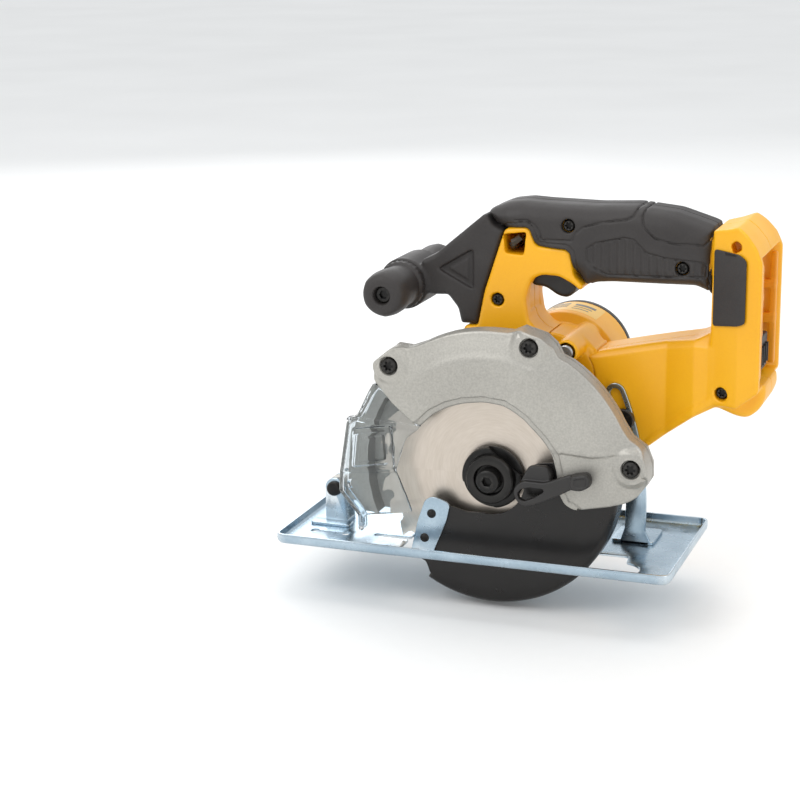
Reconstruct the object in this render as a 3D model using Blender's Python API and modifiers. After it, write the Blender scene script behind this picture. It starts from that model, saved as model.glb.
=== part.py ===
"""Cordless metal-cutting circular saw, one object per separate piece.

Lengths inside the functions are millimetres in the saw's own frame: the blade's centre is the origin,
+X runs back to the battery foot, +Y runs from the blade to the motor and +Z is up.
place() turns that into metres with the sole of the shoe on the ground plane.
"""

import math

import bmesh
import bpy
import numpy as np
from mathutils import Matrix, Vector

MM = 0.001
AXLE = (0.0, -45.0, 45.0)      # blade centre above the ground origin, mm

# Blade and arbor
BLADE_R = 70.0
BLADE_T = 1.2
BLADE_BORE_R = 10.0
TEETH = 30
FLANGE_R = 18.0
SPINDLE_R = 7.4
BOLT_R = 4.0
FIT = 0.05                     # running clearance on round fits
GAP = 0.3                      # clearance between parts that only sit together

# Guards
GUARD_R = 74.4                 # lower guard, outside
COVER_R = 86.0                 # upper guard, outside
COVER_IN_R = 83.0
COVER_Y = -14.0                # blade-side face of the upper guard
BACK_Y = 14.0                  # motor-side face of the upper guard
SHEET = 2.5                    # casting thickness
NOSE_R = 20.0                  # gear case nose that carries the lower guard
EARS = ((-58.9, 62.9), (24.0, 79.0), (82.4, 14.4))

# Gear train
GEAR_MODULE = 1.0
SPINDLE_TEETH = 40
PINION_TEETH = 16
IDLER_TEETH = 38
TRAIN_ANGLE = 66.1             # direction from the spindle to the motor axis, degrees

# Motor
BARREL_R = 27.5
BARREL_BACK_R = 33.0
BARREL_END = 96.0
CAN_R = 24.6
CAN_IN_R = 18.8
SHAFT_R = 3.9
LOCK_PIN = (37.2, 71.1)        # spindle lock pin centre
LOCK_PIN_R = 4.4

# Handle
MID_Y = 42.0                   # parting plane of the handle shells
LEG_HALF = 18.0
GRIP_HALF = 20.0
FOOT_HALF = 33.0
CORE_HALF = 14.0
TRIGGER_AXIS = (14.5, 108.5)
TRIGGER_HALF = 9.0
GRIP_BAR = (-64.0, 102.5)
GRIP_BAR_R = 13.5

# Shoe
SOLE_Z = -45.0
SHOE_X = (-126.0, 109.0)
SHOE_Y = (-29.4, 77.7)
SHOE_T = 1.6
SHOE_RIM = 6.1
SHOE_PIVOT = (-105.0, -22.0)
ARC_R = 180.5                  # depth slot radius about the shoe pivot
BOLT_ANGLE = 17.0
SLOT_ANGLES = (8.8, 22.0)
BRACKET_Y = (30.0, 32.0)
DEPTH_BOLT_R = 3.0

COLOURS = {
    "blade_steel": ((0.62, 0.57, 0.51), 0.35, 1.0),
    "zinc_plate": ((0.60, 0.66, 0.70), 0.30, 1.0),
    "black_steel": ((0.02, 0.02, 0.02), 0.45, 0.6),
    "bright_steel": ((0.55, 0.55, 0.55), 0.30, 1.0),
    "cast_grey": ((0.45, 0.43, 0.39), 0.55, 0.6),
    "guard_black": ((0.07, 0.065, 0.06), 0.40, 0.3),
    "yellow_nylon": ((0.83, 0.43, 0.0), 0.45, 0.0),
    "black_rubber": ((0.045, 0.04, 0.038), 0.65, 0.0),
    "black_plastic": ((0.04, 0.035, 0.035), 0.5, 0.0),
    "clear_window": ((0.85, 0.88, 0.90), 0.08, 0.0),
    "copper": ((0.72, 0.33, 0.18), 0.35, 1.0),
    "spring_steel": ((0.5, 0.5, 0.52), 0.3, 1.0),
    "carbon": ((0.03, 0.03, 0.03), 0.8, 0.0),
    "gear_steel": ((0.40, 0.40, 0.41), 0.35, 1.0),
}


def polar(centre, radius, degrees):
    """Point at an angle on a circle in the X-Z plane."""
    a = math.radians(degrees)
    return (centre[0] + radius * math.cos(a), centre[1] + radius * math.sin(a))


MOTOR = polar((0.0, 0.0), GEAR_MODULE * (SPINDLE_TEETH + 2 * PINION_TEETH + IDLER_TEETH) / 2, TRAIN_ANGLE)
IDLER = polar((0.0, 0.0), GEAR_MODULE * (SPINDLE_TEETH + PINION_TEETH) / 2, TRAIN_ANGLE)
DEPTH_BOLT = polar(SHOE_PIVOT, ARC_R, BOLT_ANGLE)


def arc(centre, radius, start, end, steps):
    """Points along an arc in the X-Z plane, both ends included."""
    return [polar(centre, radius, a) for a in np.linspace(start, end, steps + 1)]


def clear_scene():
    for thing in list(bpy.data.objects):
        bpy.data.objects.remove(thing, do_unlink=True)


def make_collection(name):
    made = bpy.data.collections.new(name)
    bpy.context.scene.collection.children.link(made)
    return made


def material(slot):
    found = bpy.data.materials.get(slot)
    if found:
        return found
    colour, rough, metal = COLOURS[slot]
    made = bpy.data.materials.new(slot)
    made.use_nodes = True
    shader = made.node_tree.nodes["Principled BSDF"]
    shader.inputs["Base Color"].default_value = (*colour, 1.0)
    shader.inputs["Roughness"].default_value = rough
    shader.inputs["Metallic"].default_value = metal
    return made


def solid(name, bm):
    """Object from a bmesh in saw millimetres, kept in metres, outside faces out."""
    bmesh.ops.remove_doubles(bm, verts=bm.verts, dist=0.0001)
    bmesh.ops.recalc_face_normals(bm, faces=bm.faces)
    shift = Matrix.Translation(Vector(AXLE) * MM) @ Matrix.Scale(MM, 4)
    bmesh.ops.transform(bm, matrix=shift, verts=bm.verts)
    mesh = bpy.data.meshes.new(name)
    bm.to_mesh(mesh)
    bm.free()
    made = bpy.data.objects.new(name, mesh)
    TOOLS.objects.link(made)
    made.hide_render = True
    made.display_type = "WIRE"
    return made


def prism(name, outline, y0, y1):
    """Straight extrusion along Y of a closed outline of (x, z) points."""
    bm = bmesh.new()
    low = [bm.verts.new((x, y0, z)) for x, z in outline]
    high = [bm.verts.new((x, y1, z)) for x, z in outline]
    bm.faces.new(low)
    bm.faces.new(list(reversed(high)))
    count = len(outline)
    for i in range(count):
        j = (i + 1) % count
        bm.faces.new((low[i], high[i], high[j], low[j]))
    return solid(name, bm)


def turned(name, profile, centre=(0.0, 0.0), sides=32, ring=False):
    """Solid of revolution about a Y axis; profile is (y, radius) points, closed on itself for a ring."""
    bm = bmesh.new()
    rings = []
    for y, r in profile:
        spots = arc(centre, r, 0.0, 360.0 - 360.0 / sides, sides - 1)
        rings.append([bm.verts.new((x, y, z)) for x, z in spots])
    pairs = list(zip(rings, rings[1:]))
    if ring:
        pairs.append((rings[-1], rings[0]))
    else:
        bm.faces.new(rings[0])
        bm.faces.new(list(reversed(rings[-1])))
    for a, b in pairs:
        for i in range(sides):
            j = (i + 1) % sides
            bm.faces.new((a[i], a[j], b[j], b[i]))
    return solid(name, bm)


def rod(name, centre, radius, y0, y1, sides=24):
    return turned(name, [(y0, radius), (y1, radius)], centre, sides)


def tube(name, centre, inner, outer, y0, y1, sides=32):
    return turned(name, [(y0, inner), (y0, outer), (y1, outer), (y1, inner)], centre, sides, True)


def hull(name, points):
    """Convex solid round a set of (x, y, z) points."""
    bm = bmesh.new()
    for p in points:
        bm.verts.new(p)
    made = bmesh.ops.convex_hull(bm, input=bm.verts)
    bmesh.ops.delete(bm, geom=list(set(made["geom_interior"])), context="VERTS")
    return solid(name, bm)


def block(name, low, high):
    spots = [(x, y, z) for x in (low[0], high[0]) for y in (low[1], high[1]) for z in (low[2], high[2])]
    return hull(name, spots)


def bar(name, start, end, radius, sides=6):
    """Straight bar between two points."""
    bm = bmesh.new()
    a, b = Vector(start), Vector(end)
    turn = (b - a).to_track_quat("Z", "Y").to_matrix().to_4x4()
    move = Matrix.Translation((a + b) / 2) @ turn
    bmesh.ops.create_cone(bm, cap_ends=True, segments=sides, radius1=radius, radius2=radius,
                          depth=(b - a).length, matrix=move)
    return solid(name, bm)


def combine(target, operation, *tools):
    for tool in tools:
        step = target.modifiers.new(tool.name, "BOOLEAN")
        step.operation = operation
        step.solver = "EXACT"
        step.object = tool
    return target


def cut(target, *tools):
    return combine(target, "DIFFERENCE", *tools)


def join(target, *tools):
    return combine(target, "UNION", *tools)


def keep(target, *tools):
    return combine(target, "INTERSECT", *tools)


def soften(target, width, segments=1, angle=50.0):
    step = target.modifiers.new("soft_edges", "BEVEL")
    step.width = width * MM
    step.segments = segments
    step.limit_method = "ANGLE"
    step.angle_limit = math.radians(angle)
    return target


def place(part, slot, origin=None):
    """Make a finished piece: its collection, its material and its origin on its own axis."""
    TOOLS.objects.unlink(part)
    SAW.objects.link(part)
    part.hide_render = False
    part.display_type = "TEXTURED"
    if origin:
        spot = (Vector(origin) + Vector(AXLE)) * MM
        part.data.transform(Matrix.Translation(-spot))
        part.location = spot
    part.data.materials.clear()
    part.data.materials.append(material(slot))
    return part


def gear_outline(teeth, centre, phase):
    """Tooth outline: four points a tooth, straight flanks at the pressure angle with some backlash."""
    pitch = GEAR_MODULE * teeth / 2
    spots = []
    for i in range(teeth):
        middle = phase + 360.0 * i / teeth
        for depth, half, side in ((-1.15, 1.06, -1), (0.82, 0.38, -1), (0.82, 0.38, 1), (-1.15, 1.06, 1)):
            r = pitch + depth * GEAR_MODULE
            spread = math.degrees(half * GEAR_MODULE / r)
            spots.append(polar(centre, r, middle + side * spread))
    return spots


def circle_hull(circles, grow, steps=28):
    """Outline round a few circles, as their convex hull."""
    spots = [p for centre, r in circles for p in arc(centre, r + grow, 0.0, 360.0 - 360.0 / steps, steps - 1)]
    bm = bmesh.new()
    for x, z in spots:
        bm.verts.new((x, 0.0, z))
    made = bmesh.ops.convex_hull(bm, input=bm.verts)
    bmesh.ops.delete(bm, geom=list(set(made["geom_interior"])), context="VERTS")
    left = [(v.co.x, v.co.z) for v in bm.verts]
    bm.free()
    cx = sum(p[0] for p in left) / len(left)
    cz = sum(p[1] for p in left) / len(left)
    return sorted(left, key=lambda p: math.atan2(p[1] - cz, p[0] - cx))


# ---------------------------------------------------------------- blade and arbor

def build_blade():
    outline = []
    pitch = 360.0 / TEETH
    for i in range(TEETH):
        outline.append(polar((0, 0), BLADE_R, pitch * i))
        outline.append(polar((0, 0), BLADE_R - 4.0, pitch * (i + 0.2)))
        outline.append(polar((0, 0), BLADE_R - 1.2, pitch * (i + 0.7)))
    blade = prism("blade", outline, -BLADE_T / 2, BLADE_T / 2)
    cut(blade, rod("cut_blade_bore", (0, 0), BLADE_BORE_R, -3, 3, 32))
    place(blade, "blade_steel", (0, 0, 0))


def build_arbor():
    half = BLADE_T / 2
    inner = turned("inner_flange", [(-half, BLADE_BORE_R - FIT), (half, BLADE_BORE_R - FIT),
                                    (half, FLANGE_R), (4.6, FLANGE_R)])
    cut(inner, rod("cut_inner_flange", (0, 0), BOLT_R + FIT, -4, 8))
    place(inner, "black_steel", (0, 0, 0))
    outer = turned("outer_flange", [(-11, 13), (-10, 14), (-6, 14), (-6, 17), (-5, FLANGE_R), (-half, FLANGE_R)])
    chord = [(25.4, -2.8), (-9.8, 23.6), (-3.8, 31.6), (31.4, 5.2)]
    far_chord = [(-x, -z) for x, z in chord]
    cut(outer, rod("cut_outer_flange", (0, 0), BOLT_R + FIT, -14, 2),
        rod("cut_outer_recess", (0, 0), 8.8, -14, -8),
        prism("cut_chord_upper", chord, -5.98, -3), prism("cut_chord_lower", far_chord, -5.98, -3))
    place(outer, "black_steel", (0, 0, 0))
    bolt = turned("blade_bolt", [(-15, 6.2), (-14.2, 7), (-8, 7), (-8, BOLT_R), (20, BOLT_R)])
    cut(bolt, rod("cut_hex", (0, 0), 2.9, -18, -11, 6))
    place(bolt, "black_steel", (0, 0, 0))
    spindle = turned("spindle", [(4.6, SPINDLE_R), (34.8, SPINDLE_R), (34.8, 5), (40.5, 5)])
    cut(spindle, rod("cut_thread", (0, 0), BOLT_R + FIT, 2, 21))
    place(spindle, "gear_steel", (0, 0, 0))
    gear = prism("spindle_gear", gear_outline(SPINDLE_TEETH, (0, 0), TRAIN_ANGLE), 20, 26)
    cut(gear, rod("cut_spindle_gear", (0, 0), SPINDLE_R + FIT, 15, 30, 32))
    place(gear, "gear_steel", (0, 0, 0))


def build_idler():
    low = gear_outline(PINION_TEETH, IDLER, TRAIN_ANGLE + 180.0 + 180.0 / PINION_TEETH)
    shaft = rod("idler_shaft", IDLER, 4, 14.6, 40.5)
    join(shaft, prism("idler_teeth", low, 19.5, 27))
    place(shaft, "gear_steel", (IDLER[0], 0, IDLER[1]))
    wheel = prism("idler_gear", gear_outline(IDLER_TEETH, IDLER, TRAIN_ANGLE + 180.0 / IDLER_TEETH), 28.5, 33.5)
    cut(wheel, rod("cut_idler_gear", IDLER, 4 + FIT, 25, 38))
    place(wheel, "gear_steel", (IDLER[0], 0, IDLER[1]))


def build_rotor():
    centre = (MOTOR[0], 0, MOTOR[1])
    shaft = rod("motor_shaft", MOTOR, SHAFT_R, 28, 96.6)
    join(shaft, prism("motor_teeth", gear_outline(PINION_TEETH, MOTOR, TRAIN_ANGLE + 180.0), 28.2, 34.5))
    place(shaft, "gear_steel", centre)
    core_line = []
    for i in range(12):
        for a, r in ((2.5, 12.5), (2.5, 18.3), (15, 18.3), (27.5, 18.3), (27.5, 12.5)):
            core_line.append(polar(MOTOR, r, 30 * i + a))
    core = prism("armature_core", core_line, 54, 80)
    cut(core, rod("cut_core", MOTOR, SHAFT_R + FIT, 50, 86))
    place(core, "gear_steel", centre)
    commutator = tube("commutator", MOTOR, SHAFT_R + FIT, 9.5, 82, 89.5, 24)
    place(commutator, "copper", centre)
    fan = turned("motor_fan", [(43, 6), (43, 22), (44.4, 22), (44.4, 8), (49, 8), (49, 6)], MOTOR, 24)
    blades = []
    for i in range(8):
        a, b = polar(MOTOR, 7, 45 * i), polar(MOTOR, 21, 45 * i + 14)
        c, d = polar(MOTOR, 7, 45 * i + 9), polar(MOTOR, 21, 45 * i + 18)
        blades.append(prism(f"fan_blade_{i}", [a, b, d, c], 44, 48.5))
    join(fan, *blades)
    cut(fan, rod("cut_fan", MOTOR, SHAFT_R + FIT, 40, 52))
    place(fan, "black_plastic", centre)


# ---------------------------------------------------------------- gear case and motor

def case_circles():
    return [((0, 0), 23.8), (IDLER, 22.8), (MOTOR, 13.0)]


def build_gear_case():
    outline = circle_hull(case_circles(), 0.0)
    case = prism("gear_case", outline, BACK_Y, 36)
    join(case, rod("case_nose", (0, 0), NOSE_R, 4.8, BACK_Y + 1, 48))
    inside = circle_hull([((0, 0), 21.3), (IDLER, 20.3), (MOTOR, 9.8)], 0.0)
    cut(case, prism("cut_case_inside", inside, 17, 40),
        rod("cut_front_seat", (0, 0), 13 + FIT, 6.5, 18, 32), rod("cut_nose_hole", (0, 0), 9, 2, 8, 32),
        rod("cut_idler_seat", IDLER, 4 + FIT, 14.5, 18))
    place(case, "cast_grey")
    plate = prism("bearing_plate", circle_hull([((0, 0), 23.8), (MOTOR, 24.0)], 0.0), 36, 41)
    cut(plate, rod("cut_plate_spindle", (0, 0), 5 + FIT, 30, 45), rod("cut_plate_idler", IDLER, 4 + FIT, 30, 45),
        rod("cut_plate_motor", MOTOR, 11 + FIT, 30, 45, 32))
    place(plate, "cast_grey")
    place(tube("spindle_bearing", (0, 0), SPINDLE_R + FIT, 13, 7, 15), "bright_steel", (0, 0, 0))
    place(tube("motor_bearing_front", MOTOR, SHAFT_R + FIT, 11, 36, 41), "bright_steel")


def build_motor():
    end = BARREL_END
    housing = turned("motor_housing", [(33, BARREL_R), (61, BARREL_R), (65, BARREL_BACK_R), (end, BARREL_BACK_R)],
                     MOTOR, 28)
    join(housing, rod("lock_boss", LOCK_PIN, 7, 15, 64, 20))
    cut(housing, prism("cut_case_seat", circle_hull(case_circles(), 0.2), 30, 36.1),
        prism("cut_plate_seat", circle_hull([((0, 0), 23.8), (MOTOR, 24.0)], 0.2), 36, 41.3),
        turned("cut_barrel", [(41, 24.9), (62, 24.9), (67, 30), (end + 4, 30)], MOTOR, 28),
        rod("cut_lock_bore", LOCK_PIN, LOCK_PIN_R + FIT, 10, 36))
    place(housing, "yellow_nylon")
    can_line = [(50, 21.4), (50, CAN_R), (90, CAN_R), (90, 21.4), (81, 21.4), (81, CAN_IN_R), (53, CAN_IN_R),
                (53, 21.4)]
    can = turned("field_can", can_line, MOTOR, 28, True)
    place(can, "gear_steel")
    cap = turned("motor_end_cap", [(end + 0.2, 33), (101, 33), (104.5, 27)], MOTOR, 28)
    join(cap, rod("cap_boss", MOTOR, 13, 90.6, 98, 32))
    cut(cap, rod("cut_cap_seat", MOTOR, SHAFT_R + FIT, 88, 97, 32))
    place(cap, "black_plastic")
    mx, mz = MOTOR
    place(block("brush_upper", (mx - 3, 83.5, mz + 9.7), (mx + 3, 88.5, mz + 21)), "carbon")
    place(block("brush_lower", (mx - 3, 83.5, mz - 21), (mx + 3, 88.5, mz - 9.7)), "carbon")
    pin = turned("spindle_lock_button", [(14.4, 3.8), (15, LOCK_PIN_R), (31.4, LOCK_PIN_R)], LOCK_PIN, 20)
    place(pin, "bright_steel", (LOCK_PIN[0], 26, LOCK_PIN[1]))


# ---------------------------------------------------------------- guards

def guard_top():
    """Upper edge shared by both guard castings, from the rear bottom corner to the front ear."""
    rear_ear = [(78, -7), (84, -4), (89, 2.4), (92, 7.5), (91.8, 16), (88.2, 24.8), (80.4, 30)]
    top_ear = [(40, 73.5), (36.4, 80), (30.4, 85), (18, 88.6), (11.5, 85.6)]
    front_ear = [(-48.8, 72.8), (-57.5, 73.6), (-69.5, 63.6), (-70.6, 52.5)]
    return (rear_ear + arc((0, 0), COVER_R - 1.6, 26, 57, 8) + top_ear
            + arc((0, 0), COVER_R, 87, 118, 8) + front_ear)


def ear_holes(prefix, radius, y0, y1, sides=12):
    return [rod(f"{prefix}_{i}", ear, radius, y0, y1, sides) for i, ear in enumerate(EARS)]


def build_cover():
    opening = [(-40.5, 27.8), (-28, 36), (-10, 44), (5, 44.5), (17.7, 38.5), (27, 30), (34, 20), (40, 10),
               (41, -2.5), (44.7, -9.8), (51, -12.6)]
    cover = prism("upper_guard_cover", guard_top() + opening, COVER_Y, -0.1)
    dome = turned("cover_dome", [(COVER_Y, 71), (-10, COVER_R), (-10, 110), (2, 110)], (0, 0), 44)
    keep(cover, dome)
    hollow = turned("cut_cover_hollow", [(COVER_Y + SHEET, 70), (-7.5, 79), (3, 79)], (0, 0), 44)
    cut(hollow, *ear_holes("keep_cover_ear", 5, -20, 5))
    cut(cover, hollow, *ear_holes("cut_cover_seat", 5.2, -25, -10.2, 16))
    cut(cover, *ear_holes("cut_cover_hole", 2.4, -12, 2))
    place(cover, "cast_grey")


def window_outline():
    """Outline of the chip window, front edge first, with the small leg at the bottom."""
    front = [(-69.8, 51.6), (-73, 46), (-80, 31), (-86, 28), (-91, -3), (-92, -15), (-84, -25), (-80.5, -29)]
    leg = [(-80.5, -38.5), (-77.5, -38.5), (-76, -28.5)]
    inner = [(-46.5, -24), (-50, -14), (-56, 1), (-50, 20), (-41, 27.5)]
    return front, leg, inner


def build_window():
    front, leg, inner = window_outline()
    window = prism("chip_window", front + leg + inner, -12, -0.1)
    hollow = [(-66, 52), (-70.5, 44.5), (-78, 30), (-84, 26.5), (-89, -3.5), (-90, -15), (-82.5, -24),
              (-78.5, -29.5), (-78.5, -50), (-30, -50), (-30, 60)]
    join(window, prism("window_frame", [(-80, 23), (-57.6, 28), (-56.5, 2.5), (-83, -1.3)], -14.5, -11))
    cut(window, prism("cut_window", hollow, -10, 5),
        prism("cut_lens", [(-76.5, 19.5), (-61.5, 23.5), (-60.5, 6.5), (-79, 2.5)], -20, -12.5))
    place(window, "clear_window")


def build_back():
    front, _, _ = window_outline()
    lower = [(-60, -30), (0, -22), (25, -19), (55, -13)]
    back = prism("upper_guard_back", guard_top() + front[1:] + lower, 0.1, BACK_Y)
    dome = turned("back_dome", [(0, 120), (3.2, 120), (3.4, 80.4), (10.5, 80.4), (BACK_Y, 76)], (0, 0), 44)
    front_wall = prism("back_front_wall", front + [(-60, -30), (-40, 40)], 0, BACK_Y)
    join(dome, front_wall)
    keep(back, dome)
    hollow = turned("cut_back_hollow", [(-3, 77.6), (11.5, 77.6)], (0, 0), 44)
    arm = [(-84, 0), (-90, -6), (-95, -12), (-95, -27), (-88, -29), (-84, -27)]
    px, pz = SHOE_PIVOT
    tongue = [(-94, -10), (-100, -14.5)] + arc(SHOE_PIVOT, 6, 80, 280, 8) + [(-94, -27)]
    join(back, prism("pivot_arm", arm, 11.6, 24), prism("pivot_tongue", tongue, 16.2, 23.8))
    cut(back, hollow, rod("cut_back_nose", (0, 0), NOSE_R + 0.1, 9, 20, 48),
        rod("cut_back_pivot", SHOE_PIVOT, 2.5 + FIT, 10, 30), *ear_holes("cut_back_hole", 2.3, -2, 9))
    place(back, "cast_grey")
    pin = turned("pivot_pin", [(10.6, 3.8), (11.4, 4.5), (13.2, 4.5), (13.2, 2.5), (28.5, 2.5)], SHOE_PIVOT, 16)
    place(pin, "black_steel", (px, 0, pz))


def build_guard_screws():
    for name, ear in zip(("guard_screw_front", "guard_screw_top", "guard_screw_rear"), EARS):
        screw = turned(name, [(-13.8, 3.6), (-12.8, 4.7), (-10.2, 4.7), (-10.2, 2.2), (8, 2.2)], ear, 16)
        cut(screw, rod(f"cut_{name}", ear, 2.2, -16, -12, 6))
        place(screw, "black_steel")


def build_lower_guard():
    bottom = (arc((0, 0), GUARD_R - 0.8, 10, -121.5, 26)
              + [(-38.9, -53), (-45.5, -50.5), (-47, -47.5), (-43, -30)])
    near_line = ([(-36.5, -16), (-32, -15), (-24.8, -17.7), (-14, -20.5)] + arc((0, 0), 20.5, 258, 360, 8)
                 + [(22.4, 8.6), (27.7, 12), (38, 13.6)] + bottom)
    far_line = [(-36.5, -16), (-26, 0), (-20, 17), (0, 26), (24, 14)] + bottom
    guard = prism("lower_guard", near_line, -9.5, -8)
    rim_line = arc((0, 0), GUARD_R, 9.5, -121, 26) + arc((0, 0), GUARD_R - 1.6, -121, 9.5, 26)
    corner_line = arc((0, 0), GUARD_R - 0.4, 9, -120.5, 26) + arc((0, 0), GUARD_R - 4.6, -120.5, 9, 26)
    join(guard, prism("guard_rim", rim_line, -9.2, 7.2), prism("guard_far_wall", far_line, 6, 7.5),
         prism("guard_corner", corner_line, -9.35, -6),
         rod("guard_hub", (0, 0), 21.6, 6.5, 11.2, 48))
    round_edge = turned("guard_round", [(-9.5, GUARD_R - 4), (-7.5, GUARD_R - 1.2), (-4.4, GUARD_R + 0.6), (12, GUARD_R + 0.6)],
                        (0, 0), 44)
    keep(guard, round_edge)
    cut(guard, rod("cut_guard_hub", (0, 0), NOSE_R + 0.08, 4, 13, 48),
        *[rod(f"cut_strip_hole_{i}", spot, 1.5 + FIT, -12, -6, 12) for i, spot in enumerate(STRIP_RIVETS)])
    place(guard, "guard_black", (0, 0, 0))
    line = [(-38.8, -15.7), (-35.5, -13.4), (-32, -13.3), (-25, -15.6), (-23.6, -17.8), (-25.5, -26.5),
            (-33.2, -45), (-34, -49), (-46, -49), (-47.4, -46.5), (-43.2, -28.3)]
    strip = prism("guard_edge_strip", line, -11, -9.5)
    cut(strip, *[rod(f"cut_strip_{i}", spot, 1.5 + FIT, -14, -6, 12) for i, spot in enumerate(STRIP_RIVETS)])
    place(strip, "zinc_plate", (0, 0, 0))
    for name, spot in zip(("strip_rivet_upper", "strip_rivet_lower"), STRIP_RIVETS):
        profile = [(-12.8, 1.0), (-12.2, 2.2), (-11, 2.7), (-11, 1.5), (-7.6, 1.5)]
        place(turned(name, profile, spot, 12), "black_steel", (0, 0, 0))


STRIP_RIVETS = ((-34.6, -23.2), (-39.0, -38.2))


def build_guard_lever():
    outline = [(17, -2), (19, 1.8), (23, 4.4), (35, 4.2), (42, 7), (48, 9.6), (54, 11.4), (60, 12.4), (62, 9),
               (61.6, 5), (57, 2), (50.5, 1.8), (45, -1.6), (36.3, -6.2), (28, -9.6), (23.3, -10.6), (19, -8)]
    lever = prism("guard_lever", outline, -20, -16)
    tip = [(50.5, 2.4), (57, 2.2), (61.6, 5), (62, 9), (60, 12.2), (51, 10.4)]
    web = [(20.5, 3), (25, 12), (29, 13), (36, 12.8), (38, 5), (35, 3.6), (24, 2)]
    join(lever, prism("lever_tip", tip, -23, -16), prism("lever_web", web, -17, -13),
         rod("lever_post", (33, 7), 5, -14, -9.5, 20))
    hole = [(20, -3), (22, -0.6), (27, 0.8), (34, 0.4), (34.4, -1), (29.2, -4.8), (23.6, -7.2), (20.8, -6)]
    cut(lever, prism("cut_lever", hole, -26, -10))
    place(lever, "black_plastic", (0, 0, 0))
    place(tube("guard_retaining_ring", (0, 0), NOSE_R - 0.6, 23, 3.5, 4.7, 48), "spring_steel", (0, 0, 0))


def build_guard_spring():
    """Two turns of round wire round the lower guard's hub."""
    curve = bpy.data.curves.new("guard_spring_line", "CURVE")
    curve.dimensions = "3D"
    curve.bevel_depth = 0.6
    curve.bevel_resolution = 0
    curve.use_fill_caps = True
    spline = curve.splines.new("POLY")
    turns, count = 1.7, 22
    spline.points.add(count)
    for i, point in enumerate(spline.points):
        part = i / count
        x, z = polar((0, 0), 23, 360 * turns * part)
        point.co = (x, 8.4 + 2.3 * part, z, 1.0)
    line = bpy.data.objects.new("guard_spring_line", curve)
    TOOLS.objects.link(line)
    mesh = bpy.data.meshes.new_from_object(line.evaluated_get(bpy.context.evaluated_depsgraph_get()))
    bpy.data.objects.remove(line, do_unlink=True)
    bm = bmesh.new()
    bm.from_mesh(mesh)
    place(solid("guard_spring", bm), "spring_steel", (0, 0, 0))


# ---------------------------------------------------------------- handle

def mirrored(points):
    """The same (x, y, z) points with their copies across the parting plane."""
    return points + [(x, 2 * MID_Y - y, z) for x, y, z in points]


def panel_line():
    """Yellow panel in the black grip, from the front leg round the key window to the trigger."""
    return [(-14.1, 101.3), (-6.7, 123.5), (-2.2, 136.8), (-0.6, 138.4), (11, 139.8), (13.4, 138.4),
            (15.7, 130.6), (18, 129), (34.5, 128.2), (37, 125.8), (38.4, 113.5), (44.5, 107.2), (42.5, 104.8)]


def core_line(grow):
    """Inner yellow core that the grip sleeve wraps."""
    g = grow
    return [(6 - g, 136), (13, 147 + g), (50, 147 + g), (95, 145.5 + g), (121, 138 + g), (121, 115 - g),
            (108, 115.5 - g), (60, 115 - g), (40, 115 - g), (30, 118)]


KEY_WINDOW = [(-2.6, 135), (11, 136.8), (9.5, 123.5), (-1.4, 124.2)]
TRIGGER_POCKET = [(10.9, 96), (10.9, 112.5), (16, 117), (33, 117), (40, 111), (42.8, 106.5), (43.2, 96)]
SCREWS = {"handle_screw_leg": ((-6.0, 97.0), 28.0, 20.0), "handle_screw_grip": ((35.6, 141.5), 28.0, 18.0),
          "handle_screw_rear": ((100.5, 120.7), 28.0, 18.0), "handle_screw_foot": ((124.7, 52.4), 26.0, 18.0)}


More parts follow.
